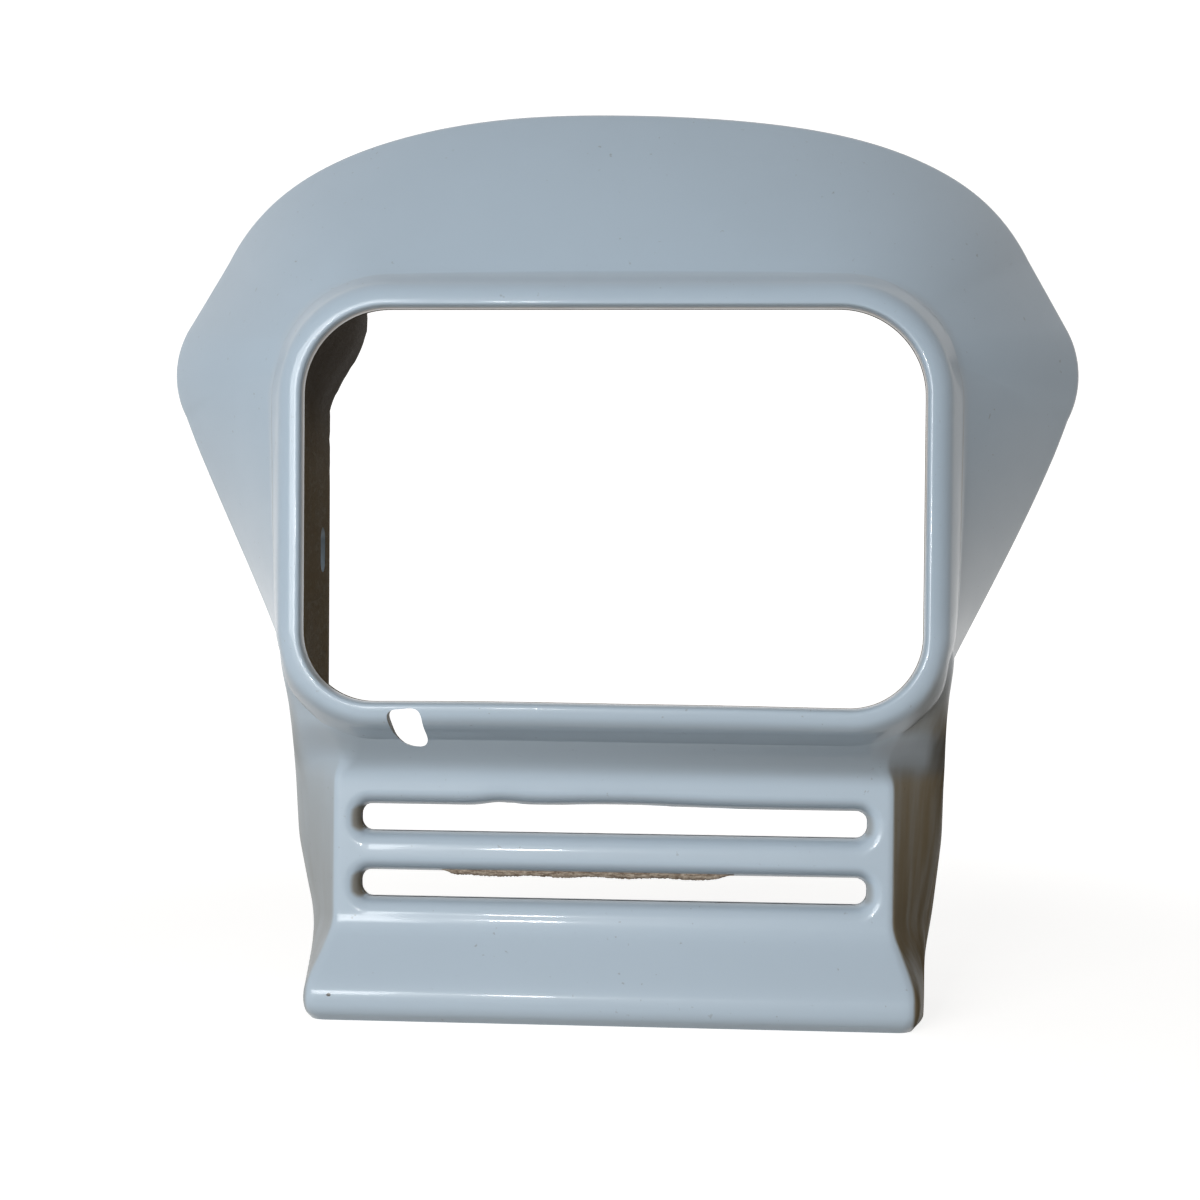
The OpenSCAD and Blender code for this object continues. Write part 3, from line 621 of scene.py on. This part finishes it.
def build_walls():
    """The side walls and lower front: skin, lining and the edges between them."""
    levels = [level_at(z) for z in level_heights()]
    web = [level_at(mix(levels[-1][0], WEB_TOP, k / 16)) for k in range(1, 17)]
    left, right = half_skin(levels + web, LEFT_LEAN), half_skin(levels + web, RIGHT_LEAN)
    left = left[:, :0:-1].copy()
    left[:, :, 0] *= -1
    skin = np.concatenate([left, right], axis=1)
    roll_slot_mouths(skin)
    lining = lining_of(skin)
    rows, cols = skin.shape[:2]
    n_low, n_web = len(levels), len(levels) + len(web)

    def kept(i, j):
        """Whether the cell belongs to the walls: all of it low down, then web and sides."""
        if not (0 <= i < rows - 1 and 0 <= j < cols - 1):
            return False
        if i < n_low - 1 or j < SIDE_COLS - 1 or j >= cols - SIDE_COLS:
            return True
        if i >= n_web - 1:
            return False
        xs = min(abs(skin[i, j, 0]), abs(skin[i, j + 1, 0]), abs(skin[i + 1, j, 0]))
        return xs > web_limit(skin[i, 0, 2]) - 1.0

    b = Builder()
    first_skin = b.add(skin.reshape(-1, 3))
    first_lining = b.add(lining.reshape(-1, 3))
    ends = {j: b.add(rear_edge_points(skin, lining, j, inner))
            for j, inner in ((0, 1), (cols - 1, cols - 2))}

    def on_skin(i, j):
        return first_skin + i * cols + j

    def on_lining(i, j):
        return first_lining + i * cols + j

    def close_side(i, j):
        """The edge of the kept cells along column j, from row i to the next."""
        outer = (on_skin(i + 1, j), on_skin(i, j))
        inner = (on_lining(i + 1, j), on_lining(i, j))
        if j not in ends:
            b.face((outer[0], outer[1], inner[1], inner[0]), 1)
            return
        e = ends[j]
        chain = [outer] + [(e + (i + 1) * 3 + k, e + i * 3 + k) for k in range(3)] + [inner]
        for m, (p, q) in enumerate(zip(chain, chain[1:])):
            b.face((p[0], p[1], q[1], q[0]), 1 if m > 1 else 0)

    for i, j in np.ndindex(rows - 1, cols - 1):
        if not kept(i, j):
            continue
        b.face((on_skin(i, j), on_skin(i + 1, j), on_skin(i + 1, j + 1), on_skin(i, j + 1)), 0)
        b.face((on_lining(i, j), on_lining(i, j + 1), on_lining(i + 1, j + 1), on_lining(i + 1, j)), 1)
        if not kept(i - 1, j):
            b.face((on_skin(i, j), on_skin(i, j + 1), on_lining(i, j + 1), on_lining(i, j)), 0)
        if not kept(i + 1, j):
            b.face((on_skin(i + 1, j + 1), on_skin(i + 1, j), on_lining(i + 1, j),
                    on_lining(i + 1, j + 1)), 0)
        for edge, neighbour in ((j, j - 1), (j + 1, j + 1)):
            if not kept(i, neighbour):
                close_side(i, edge)
    # the rounded rear edges are closed at their two ends
    for j, e in ends.items():
        for i in (0, rows - 1):
            b.face((on_skin(i, j), e + i * 3, e + i * 3 + 1, e + i * 3 + 2, on_lining(i, j)), 0)
    return b.object("walls")


# Holes and slots
def rounded_rect(w, h, r, n=8):
    """An outline with four rounded corners, about the origin."""
    out = []
    for cx, cz, a0 in ((w / 2 - r, h / 2 - r, 0), (-w / 2 + r, h / 2 - r, 90),
                       (-w / 2 + r, -h / 2 + r, 180), (w / 2 - r, -h / 2 + r, 270)):
        for k in range(n + 1):
            a = math.radians(a0 + 90 * k / n)
            out.append((cx + r * math.cos(a), cz + r * math.sin(a)))
    return out


def oblong(w, h, n=12):
    """An upright outline with round ends, about the origin."""
    out = []
    for cz, a0 in (((h - w) / 2, 0), (-(h - w) / 2, 180)):
        for k in range(n + 1):
            a = math.radians(a0 + 180 * k / n)
            out.append((w / 2 * math.cos(a), cz + w / 2 * math.sin(a)))
    return out


def circle(d, n=32):
    """A round outline about the origin."""
    turns = np.linspace(0, 2 * math.pi, n + 1)[:-1]
    return [(d / 2 * math.cos(a), d / 2 * math.sin(a)) for a in turns]


def slot_outline(grow, upper):
    """A slot's edge. The upper slot's upper edge bows up a little and has a shallow hollow."""
    out = rounded_rect(SLOT_W + grow, SLOT_H + grow, SLOT_R + 0.9 + grow / 2)
    split = []
    for p, q in zip(out, out[1:] + out[:1]):
        long_side = abs(q[0] - p[0]) > 40
        for i in range(80 if long_side else 1):
            split.append((mix(p[0], q[0], i / 80), mix(p[1], q[1], i / 80)) if long_side else p)
    if not upper:
        return split
    return [(x, z + (slot_rise(x) if z > 0 else 0)) for x, z in split]


def slot_cutter(zc, upper):
    """Cuts a grille slot through the front and the collar's place."""
    b = Builder()
    b.loft([[(x, d, zc + z) for x, z in slot_outline(-0.3, upper)]
            for d in (GRILLE_D - 3, GRILLE_D + COLLAR_D + 4)])
    return b.object("slot_cutter")


def slot_collar(zc, upper):
    """The collar behind a slot, one closed ring."""
    b = Builder()
    front, back = GRILLE_D + ROLL_D - 0.5, GRILLE_D + COLLAR_D
    inner, rim = slot_outline(-0.3, upper), slot_outline(0.9, upper)
    edge, outer = slot_outline(2 * WALL - 1, upper), slot_outline(2 * WALL, upper)
    loops = [(inner, front + 0.4), (inner, back - 0.7), (rim, back), (edge, back),
             (outer, back - 0.7), (outer, front)]
    rings = [[(x, d, zc + z) for x, z in o] for o, d in loops]
    starts = [b.add(r) for r in rings]
    n = len(inner)
    for i in range(len(rings)):
        a, c = starts[i], starts[(i + 1) % len(rings)]
        for k in range(n):
            b.face((a + k, a + (k + 1) % n, c + (k + 1) % n, c + k), 1 if i in (2, 3, 4) else 0)
    return b.object("slot_collar")


def cable_cutter():
    """The hand-cut cable hole: a slanted rounded four-sided opening that widens behind its edge."""
    outline = []
    for k, (x, z, r) in enumerate(CABLE_CORNERS):
        p = np.array([x, z])
        a, c = np.array(CABLE_CORNERS[k - 1][:2]), np.array(CABLE_CORNERS[(k + 1) % 4][:2])
        start, end = p + unit(a - p) * r, p + unit(c - p) * r
        for i in range(9):
            t = i / 8
            outline.append(mix(mix(start, p, t), mix(p, end, t), t))
    outline = np.array(outline)
    middle = outline.mean(axis=0)
    b = Builder()
    loops = []
    for behind, grow in ((-9, 1.0), (1.4, 1.0), (2.0, 1.05), (4.5, 1.22), (13, 1.35)):
        loops.append([(x, 2.5 + 0.75 * (-62 - z) + behind, z)
                      for x, z in middle + (outline - middle) * grow])
    b.loft(loops)
    return b.object("cable_cutter")


def side_cutter(side, outline, d, z):
    """Cuts an outline straight through one side wall, at a depth and height."""
    b = Builder()
    xs = (78, 118) if side > 0 else (-118, -78)
    b.loft([[(x, d + u, z + v) for u, v in outline] for x in xs])
    return b.object("side_cutter")


def foot_cutter():
    """Trims the walls and lip level at the foot."""
    b = Builder()
    box = [(-160, -10), (160, -10), (160, 110), (-160, 110)]
    b.loft([[(x, d, z) for x, d in box] for z in (LIP_FOOT - 12, LIP_FOOT)])
    return b.object("foot_cutter")


def cut(ob, cutter):
    """Takes the cutter out of the mesh and removes the cutter."""
    for m in ob.data.materials:
        cutter.data.materials.append(m)
    mod = ob.modifiers.new("cut", "BOOLEAN")
    mod.operation, mod.object, mod.solver = "DIFFERENCE", cutter, "MANIFOLD"
    bpy.context.view_layer.update()
    mesh = bpy.data.meshes.new_from_object(ob.evaluated_get(bpy.context.evaluated_depsgraph_get()))
    ob.modifiers.clear()
    ob.data = mesh
    bpy.data.objects.remove(cutter)


def join(target, others):
    """Moves the other objects' meshes into the target's."""
    bm = bmesh.new()
    bm.from_mesh(target.data)
    for o in others:
        bm.from_mesh(o.data)
    bm.to_mesh(target.data)
    bm.free()
    for o in others:
        bpy.data.objects.remove(o)


# Materials
class Nodes:
    """Short calls for building one node tree."""

    def __init__(self, tree):
        self.tree = tree
        tree.nodes.clear()

    def add(self, kind, **sockets):
        n = self.tree.nodes.new(kind)
        for key, value in sockets.items():
            self.put(n.inputs[key.replace("_", " ")], value)
        return n

    def put(self, socket, value):
        if isinstance(value, bpy.types.NodeSocket):
            self.tree.links.new(value, socket)
        else:
            socket.default_value = value

    def math(self, op, a, b=0.0, clamp=False):
        n = self.tree.nodes.new("ShaderNodeMath")
        n.operation, n.use_clamp = op, clamp
        self.put(n.inputs[0], a)
        self.put(n.inputs[1], b)
        return n.outputs[0]

    def vmath(self, op, a, b=(0, 0, 0), out=0):
        n = self.tree.nodes.new("ShaderNodeVectorMath")
        n.operation = op
        self.put(n.inputs[0], a)
        self.put(n.inputs[1], b)
        return n.outputs[out]

    def noise(self, vector, scale, detail=2.0, rough=0.5):
        n = self.add("ShaderNodeTexNoise", Scale=scale, Detail=detail, Roughness=rough)
        self.put(n.inputs["Vector"], vector)
        return n.outputs["Fac"]

    def ramp(self, fac, lo, hi, a=0.0, b=1.0):
        n = self.tree.nodes.new("ShaderNodeMapRange")
        n.interpolation_type = "SMOOTHSTEP"
        self.put(n.inputs["Value"], fac)
        for key, v in (("From Min", lo), ("From Max", hi), ("To Min", a), ("To Max", b)):
            self.put(n.inputs[key], v)
        return n.outputs["Result"]

    def mixc(self, fac, a, b, blend="MIX"):
        n = self.tree.nodes.new("ShaderNodeMix")
        n.data_type, n.blend_type = "RGBA", blend
        self.put(n.inputs[0], fac)
        self.put(n.inputs[6], a)
        self.put(n.inputs[7], b)
        return n.outputs[2]

    def surface(self, shader, kind="ShaderNodeOutputMaterial"):
        """Joins a shader to the tree's output."""
        self.put(self.add(kind).inputs["Surface"], shader.outputs[0])

    def white_rays(self):
        """1 for camera, glossy and transmission rays, which see the surroundings as white."""
        path = self.add("ShaderNodeLightPath")
        seen = self.math("ADD", path.outputs["Is Camera Ray"], path.outputs["Is Glossy Ray"])
        return self.math("ADD", seen, path.outputs["Is Transmission Ray"], clamp=True)

    def spot(self, place, centre, size, ragged, scale):
        """A ragged-edged spot round a place, 1 inside and 0 outside. Centre and size are in mm."""
        off = self.vmath("SUBTRACT", place, tuple(to_row([centre])[0]))
        off = self.vmath("DIVIDE", off, tuple(s * 0.001 for s in size))
        dist = self.vmath("LENGTH", off, out=1)
        grain = self.noise(place, scale, 3.0, 0.6)
        dist = self.math("ADD", dist, self.math("MULTIPLY", self.math("SUBTRACT", grain, 0.5), ragged))
        return self.ramp(dist, 0.75, 1.15, 1.0, 0.0)


def new_material(name):
    """An empty material and its nodes."""
    m = bpy.data.materials.new(name)
    m.use_nodes = True
    return m, Nodes(m.node_tree)


def side_film_and_shade(n, facing, at, streak):
    """Partly a brown film and partly painted shade with a painted brown reflection, on the outer sides
    below the window, strongest on the right; in faint streaks that run down.
    """
    right = n.ramp(facing.outputs["X"], 0.42, 0.72)
    left = n.ramp(facing.outputs["X"], -0.90, -0.50, 0.55, 0.0)
    below = n.ramp(at.outputs["Z"], 0.084, 0.124, 1.0, 0.0)
    sides = n.math("MULTIPLY", n.math("ADD", right, left), below)
    return n.math("MULTIPLY", sides, n.ramp(streak, 0.3, 0.7, 0.72, 0.98))


def valley_shade(n, at):
    """Painted shade in the valley under the rim, darker to the right."""
    band = n.math("MULTIPLY", n.ramp(at.outputs["Z"], 0.0725, 0.0785, 0.0, 1.0),
                  n.ramp(at.outputs["Z"], 0.0850, 0.0910, 1.0, 0.0))
    band = n.math("MULTIPLY", band, n.ramp(at.outputs["X"], -0.07, 0.10, 0.20, 0.52))
    return n.math("MULTIPLY", band, n.ramp(at.outputs["Y"], 0.0, 0.02, 1.0, 0.0))


def turned_edge_reflection(n, facing, at, streak):
    """A painted brown reflection on the shield's turned edges, on faces that turn away from the front
    above about the window's middle.
    """
    turned = n.math("MULTIPLY", n.ramp(facing.outputs["Y"], -0.42, -0.12),
                    n.ramp(at.outputs["Z"], 0.13, 0.16))
    return n.math("MULTIPLY", turned, n.ramp(streak, 0.3, 0.6, 0.35, 0.9))


# A dark speck on the lip and two stains on the right wing: middle and half sizes in mm, raggedness,
# scale of its edge, colour and strength
MARKS = [
    ((-85.2, LIP_D, -148.9), (0.75, 3.0, 0.6), 0.5, 1500.0, (0.06, 0.05, 0.04, 1), 1.0),
    ((113.9, 38.0, 13.2), (1.6, 4.0, 1.4), 1.0, 700.0, (0.16, 0.09, 0.045, 1), 0.5),
    ((125.4, 52.0, 71.8), (3.0, 6.0, 2.0), 1.2, 500.0, (0.19, 0.16, 0.12, 1), 0.45),
]


def gloss_material():
    """Pale blue-grey moulding: faint mottling, orange peel, a side film, sparse dust specks and marks,
    with painted shade, a painted reflection and a lower front painted brighter.
    """
    m, n = new_material("gloss_moulding")
    place = n.add("ShaderNodeTexCoord").outputs["Object"]
    facing, at = n.add("ShaderNodeSeparateXYZ"), n.add("ShaderNodeSeparateXYZ")
    n.put(facing.inputs[0], n.add("ShaderNodeTexCoord").outputs["Normal"])
    n.put(at.inputs[0], place)
    cloud = n.noise(place, 9.0, 3.0)
    mottle = n.noise(place, 60.0, 4.0, 0.6)
    streak = n.noise(n.vmath("MULTIPLY", place, (1.0, 1.0, 0.12)), 90.0, 3.0, 0.6)
    speck = n.noise(place, 520.0, 2.0, 0.5)
    colour = n.mixc(n.ramp(cloud, 0.35, 0.65), (0.405, 0.495, 0.580, 1), (0.425, 0.518, 0.605, 1))
    colour = n.mixc(n.ramp(mottle, 0.40, 0.80, 0.0, 0.06), colour, (0.385, 0.44, 0.48, 1))
    # painted light: the lower front is painted brighter than the crown
    colour = n.mixc(n.ramp(at.outputs["Z"], 0.05, 0.16, 0.42, 0.0), colour, (0.60, 0.69, 0.77, 1))
    film_and_shade = side_film_and_shade(n, facing, at, streak)
    # the side film: partly a brown film, partly painted shade and a painted brown reflection
    colour = n.mixc(film_and_shade, colour, (0.25, 0.195, 0.12, 1))
    # painted shade: faces that look down are painted darker
    colour = n.mixc(n.ramp(facing.outputs["Z"], -0.75, -0.20, 0.50, 0.0), colour,
                    (0.14, 0.155, 0.165, 1))
    # painted shade in the valley under the rim
    colour = n.mixc(valley_shade(n, at), colour, (0.17, 0.19, 0.205, 1))
    # painted brown reflection on the shield's turned edges
    colour = n.mixc(turned_edge_reflection(n, facing, at, streak), colour, (0.24, 0.185, 0.13, 1))
    dust = n.math("MULTIPLY", n.ramp(speck, 0.70, 0.76), n.ramp(mottle, 0.45, 0.6, 0.0, 0.35))
    colour = n.mixc(dust, colour, (0.16, 0.13, 0.10, 1))
    for centre, size, ragged, scale, tint, amount in MARKS:
        mark = n.spot(place, centre, size, ragged, scale)
        colour = n.mixc(n.math("MULTIPLY", mark, amount), colour, tint)
    rough = n.ramp(mottle, 0.3, 0.8, 0.30, 0.38)
    rough = n.math("ADD", rough, n.math("MULTIPLY", film_and_shade, 0.5))
    peel, wave = n.noise(place, 260.0, 2.0, 0.4), n.noise(place, 30.0, 2.0, 0.4)
    height = n.math("ADD", n.math("MULTIPLY", peel, 0.12), n.math("MULTIPLY", wave, 0.8))
    bump = n.add("ShaderNodeBump", Strength=0.30, Distance=0.0005, Height=height)
    shader = n.add("ShaderNodeBsdfPrincipled", Base_Color=colour, Roughness=rough,
                   Normal=bump.outputs[0])
    # the side film and its painted shade dull the gloss
    n.put(shader.inputs["Specular IOR Level"],
          n.math("SUBTRACT", 0.34, n.math("MULTIPLY", film_and_shade, 0.34)))
    n.put(shader.inputs["Coat Weight"],
          n.math("SUBTRACT", 0.50, n.math("MULTIPLY", film_and_shade, 0.56), clamp=True))
    shader.inputs["Coat Roughness"].default_value = 0.07
    n.surface(shader)
    return m


def raw_material():
    """The raw matte back of the moulding: brown-grey, with the strands of its backing."""
    m, n = new_material("raw_backing")
    place = n.add("ShaderNodeTexCoord").outputs["Object"]
    cloud = n.noise(place, 18.0, 4.0, 0.6)
    stretched = n.vmath("MULTIPLY", place, (1.0, 0.35, 1.0))
    strand = n.noise(stretched, 420.0, 5.0, 0.7)
    grit = n.noise(place, 1500.0, 2.0, 0.6)
    colour = n.mixc(n.ramp(cloud, 0.3, 0.7), (0.096, 0.068, 0.033, 1), (0.165, 0.120, 0.062, 1))
    colour = n.mixc(n.ramp(strand, 0.48, 0.66, 0.0, 0.45), colour, (0.21, 0.185, 0.14, 1))
    colour = n.mixc(n.ramp(grit, 0.62, 0.75, 0.0, 0.35), colour, (0.03, 0.024, 0.018, 1))
    # painted shade: the raw back is darker in the window's upper corner, where shade falls inside
    at = n.add("ShaderNodeSeparateXYZ")
    n.put(at.inputs[0], place)
    colour = n.mixc(n.ramp(at.outputs["Z"], 0.165, 0.200, 0.0, 0.90), colour,
                    (0.022, 0.015, 0.009, 1))
    height = n.math("ADD", strand, n.math("MULTIPLY", grit, 0.4))
    bump = n.add("ShaderNodeBump", Strength=0.6, Distance=0.0006, Height=height)
    shader = n.add("ShaderNodeBsdfPrincipled", Base_Color=colour,
                   Roughness=n.ramp(cloud, 0.2, 0.8, 0.72, 0.9), Normal=bump.outputs[0])
    shader.inputs["Specular IOR Level"].default_value = 0.10
    n.surface(shader)
    return m


def fibre_material():
    """Rough brown strands left along one slot's upper edge."""
    m, n = new_material("raw_strands")
    place = n.add("ShaderNodeTexCoord").outputs["Object"]
    run = n.noise(n.vmath("MULTIPLY", place, (0.3, 1.0, 1.0)), 1400.0, 4.0, 0.7)
    colour = n.mixc(n.ramp(run, 0.35, 0.7), (0.16, 0.115, 0.08, 1), (0.52, 0.43, 0.34, 1))
    bump = n.add("ShaderNodeBump", Strength=0.8, Distance=0.0004, Height=run)
    shader = n.add("ShaderNodeBsdfPrincipled", Base_Color=colour,
                   Roughness=n.ramp(run, 0.3, 0.7, 0.75, 0.95), Normal=bump.outputs[0])
    shader.inputs["Specular IOR Level"].default_value = 0.2
    n.surface(shader)
    return m


# The dressed cowl
def swell(x, z, cx, cz, sx, sz):
    """A soft rise of height 1 round a place of the front view, with its reach in x and z."""
    return np.exp(-((x - cx) / sx) ** 2 - ((z - cz) / sz) ** 2)


def cast_waviness(ob):
    """The small unevenness of a hand-laid moulding, under 1.5 mm."""
    me = ob.data
    co = np.zeros(len(me.vertices) * 3)
    me.vertices.foreach_get("co", co)
    co = co.reshape(-1, 3)
    x, d, z = co[:, 0] * 1000, co[:, 1] * 1000 + HALF_DEPTH, co[:, 2] * 1000 - FOOT
    front = np.clip((70 - d) / 30, 0, 1)
    dz = (0.9 * swell(x, z, -40, 127, 38, 22) - 0.5 * swell(x, z, 45, 127, 40, 22)
          + 1.0 * swell(x, z, -35, -63, 55, 7) + 0.4 * swell(x, z, 35, -63, 30, 6)) * front
    dx = (1.0 * swell(x, z, 112, 92, 16, 26) - 0.6 * swell(x, z, 146, 44, 14, 26)
          - 0.8 * swell(x, z, -146, 42, 14, 28) + 0.8 * swell(x, z, -96, -138, 12, 9)) * front
    rough = np.clip((d - 84) / 10, 0, 1) * np.clip((z - 5) / 20, 0, 1)
    co[:, 1] -= rough * (0.5 + 0.45 * np.sin(z * 0.55) + 0.35 * np.sin(z * 1.25 + 1.0)) * 0.001
    co[:, 0] += dx * 0.001
    co[:, 2] += dz * 0.001
    me.vertices.foreach_set("co", co.reshape(-1))
    me.update()


def finish_mesh(ob, angle):
    """Smooth shading, with edges sharp past an angle in degrees."""
    me = ob.data
    me.validate()
    for p in me.polygons:
        p.use_smooth = True
    me.set_sharp_from_angle(angle=math.radians(angle))


def cut_openings(ring, walls):
    """Slots, cable hole, lamp slots and stay holes, and the level foot."""
    for zc in SLOT_Z:
        cut(walls, slot_cutter(zc, zc == SLOT_Z[0]))
    cut(walls, cable_cutter())
    cut(ring, cable_cutter())
    for side in (-1, 1):
        cut(walls, side_cutter(side, oblong(BOLT_W, BOLT_H), WALL_D - BOLT_IN, -BOLT_DROP))
        cut(walls, side_cutter(side, circle(STAY_D), FOOT_D - STAY_IN, LIP_FOOT + STAY_H))
    cut(walls, foot_cutter())


def dress_cowl():
    """The whole moulding as one piece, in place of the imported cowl."""
    cowl, walls = build_ring(), build_walls()
    collars = [slot_collar(zc, zc == SLOT_Z[0]) for zc in SLOT_Z]
    gloss, raw = gloss_material(), raw_material()
    for ob in [cowl, walls] + collars:
        ob.data.materials.append(gloss)
        ob.data.materials.append(raw)
    cut_openings(cowl, walls)
    join(cowl, [walls] + collars)
    cast_waviness(cowl)
    finish_mesh(cowl, 38)
    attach(cowl, "root")
    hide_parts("cowl")


def slot_flash():
    """A rough strip of raw strands hanging under the lower slot's upper edge."""
    rng = np.random.default_rng(7)
    b = Builder()
    top = SLOT_Z[1] + SLOT_H / 2 + 0.25
    loops = []
    for x in np.arange(-53, 38.01, 0.35):
        ends = ease((x + 53) / 5) * ease((38 - x) / 7)
        drop = (1.35 + 0.35 * rng.random() + 0.2 * math.sin(x * 0.31)) * ends + 0.15
        jut = 0.35 * rng.random()
        d0, d1 = GRILLE_D + 3.0, GRILLE_D + 5.6
        section = [(d0 - jut, 0.0), (d0 - jut * 0.5, -drop * 0.6), (d0 + 0.6, -drop),
                   (d1 - 0.5, -drop * 0.8), (d1, -0.2), (d1, 0.4), (d0 + 0.4, 0.5)]
        loops.append([(x, d, top + z) for d, z in section])
    b.loft(loops)
    flash = b.object("slot_flash")
    flash.data.materials.append(fibre_material())
    finish_mesh(flash, 60)
    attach(flash, "root")


# Floor, lights, world and camera
def white_seen_material(name, colour, lift):
    """Lit floor. Camera and reflections see it whiter, and fully white away from the object."""
    m, n = new_material(name)
    place = n.add("ShaderNodeTexCoord").outputs["Object"]
    away = n.vmath("DISTANCE", place, (0.0, 0.0, 0.0), out=1)
    grain = n.noise(place, 40.0, 3.0)
    tint = n.mixc(n.ramp(grain, 0.3, 0.7), colour, tuple(c * 0.99 for c in colour[:3]) + (1,))
    diffuse = n.add("ShaderNodeBsdfDiffuse", Color=tint)
    lifted = n.ramp(away, 0.18, 0.60, lift, 1.0)
    glow = n.add("ShaderNodeEmission", Color=(1, 1, 1, 1), Strength=lifted)
    both = n.add("ShaderNodeAddShader")
    n.put(both.inputs[0], diffuse.outputs[0])
    n.put(both.inputs[1], glow.outputs[0])
    pick = n.add("ShaderNodeMixShader", Fac=n.white_rays())
    n.put(pick.inputs[1], diffuse.outputs[0])
    n.put(pick.inputs[2], both.outputs[0])
    n.surface(pick)
    return m


def make_floor():
    """A pale floor under the foot, curving up to a far backdrop."""
    near, bend, curve_r, top, half_w = -2600, 1700, 900, 3200, 3200
    profile = [(near, 0), (bend, 0)]
    profile += [(bend + curve_r * math.sin(a), curve_r - curve_r * math.cos(a))
                for a in np.radians(np.linspace(7, 90, 24))]
    profile += [(bend + curve_r, top)]
    b = Builder()
    left, right = (b.add([(x, d, LIP_FOOT + z) for d, z in profile]) for x in (-half_w, half_w))
    for k in range(len(profile) - 1):
        b.face((left + k, right + k, right + k + 1, left + k + 1))
    ob = b.object("floor")
    for p in ob.data.polygons:
        p.use_smooth = True
    ob.data.materials.append(white_seen_material("pale_floor", (0.56, 0.54, 0.51, 1), 0.83))


LIT_POINT = Vector((0.0, -0.02, 0.15))


def soft_light(name, place, size, watts, colour, shape="RECTANGLE"):
    """An area light at a place, turned towards the cowl's middle."""
    data = bpy.data.lights.new(name, "AREA")
    data.shape = shape
    data.size, data.size_y = size
    data.energy, data.color = watts, colour
    ob = bpy.data.objects.new(name, data)
    ob.location = place
    ob.rotation_euler = (LIT_POINT - Vector(place)).to_track_quat("-Z", "Y").to_euler()
    bpy.context.scene.collection.objects.link(ob)


def make_world():
    """White to the camera. As light it is neutral from the front left, and dim and warm from the
    right and behind."""
    world = bpy.data.worlds.new("studio")
    bpy.context.scene.world = world
    world.use_nodes = True
    n = Nodes(world.node_tree)
    look = n.add("ShaderNodeTexCoord").outputs["Generated"]
    frontal = n.vmath("DOT_PRODUCT", look, (-0.45, -0.85, 0.27), out=1)
    tint = n.mixc(n.ramp(frontal, -0.35, 0.75), (0.16, 0.152, 0.142, 1), (0.235, 0.235, 0.235, 1))
    shade = n.add("ShaderNodeBackground", Color=tint, Strength=1.0)
    white = n.add("ShaderNodeBackground", Color=(1, 1, 1, 1), Strength=1.0)
    pick = n.add("ShaderNodeMixShader", Fac=n.white_rays())
    n.put(pick.inputs[1], shade.outputs[0])
    n.put(pick.inputs[2], white.outputs[0])
    n.surface(pick, "ShaderNodeOutputWorld")


# The photograph's viewpoint: its place in metres, its turns in degrees and its lens in mm
CAMERA_AT = (0.0368, -0.6375, 0.14185)
YAW, PITCH, ROLL = math.radians(3.846), math.radians(-1.168), math.radians(0.455)
LENS, SENSOR = 59.29, 36.0


def make_camera():
    """The camera of the photograph."""
    flat = math.cos(PITCH)
    ahead = Vector((-math.sin(YAW) * flat, math.cos(YAW) * flat, math.sin(PITCH)))
    level = Vector((math.cos(YAW), math.sin(YAW), 0.0))
    up = level.cross(ahead)
    across = level * math.cos(ROLL) + up * math.sin(ROLL)
    upright = up * math.cos(ROLL) - level * math.sin(ROLL)
    data = bpy.data.cameras.new("camera")
    data.lens, data.sensor_width, data.sensor_fit = LENS, SENSOR, "HORIZONTAL"
    data.clip_start, data.clip_end = 0.05, 30.0
    cam = bpy.data.objects.new("camera", data)
    turned = Matrix((across, upright, -ahead)).transposed().to_4x4()
    cam.matrix_world = Matrix.Translation(CAMERA_AT) @ turned
    bpy.context.scene.collection.objects.link(cam)
    bpy.context.scene.camera = cam


dress_cowl()
slot_flash()
make_floor()
soft_light("key", (-0.60, -1.20, 0.31), (0.7, 0.55), 8.5, (0.96, 1.0, 1.03))
soft_light("front", (-0.10, -0.72, 0.16), (0.05, 0.05), 0.55, (1.0, 0.99, 0.97), shape="DISK")
soft_light("window", (-0.30, -0.95, 0.20), (0.15, 0.30), 0.8, (0.98, 0.99, 1.0))

make_world()
make_camera()
bpy.context.scene.view_settings.view_transform = "Standard"

bpy.context.view_layer.update()
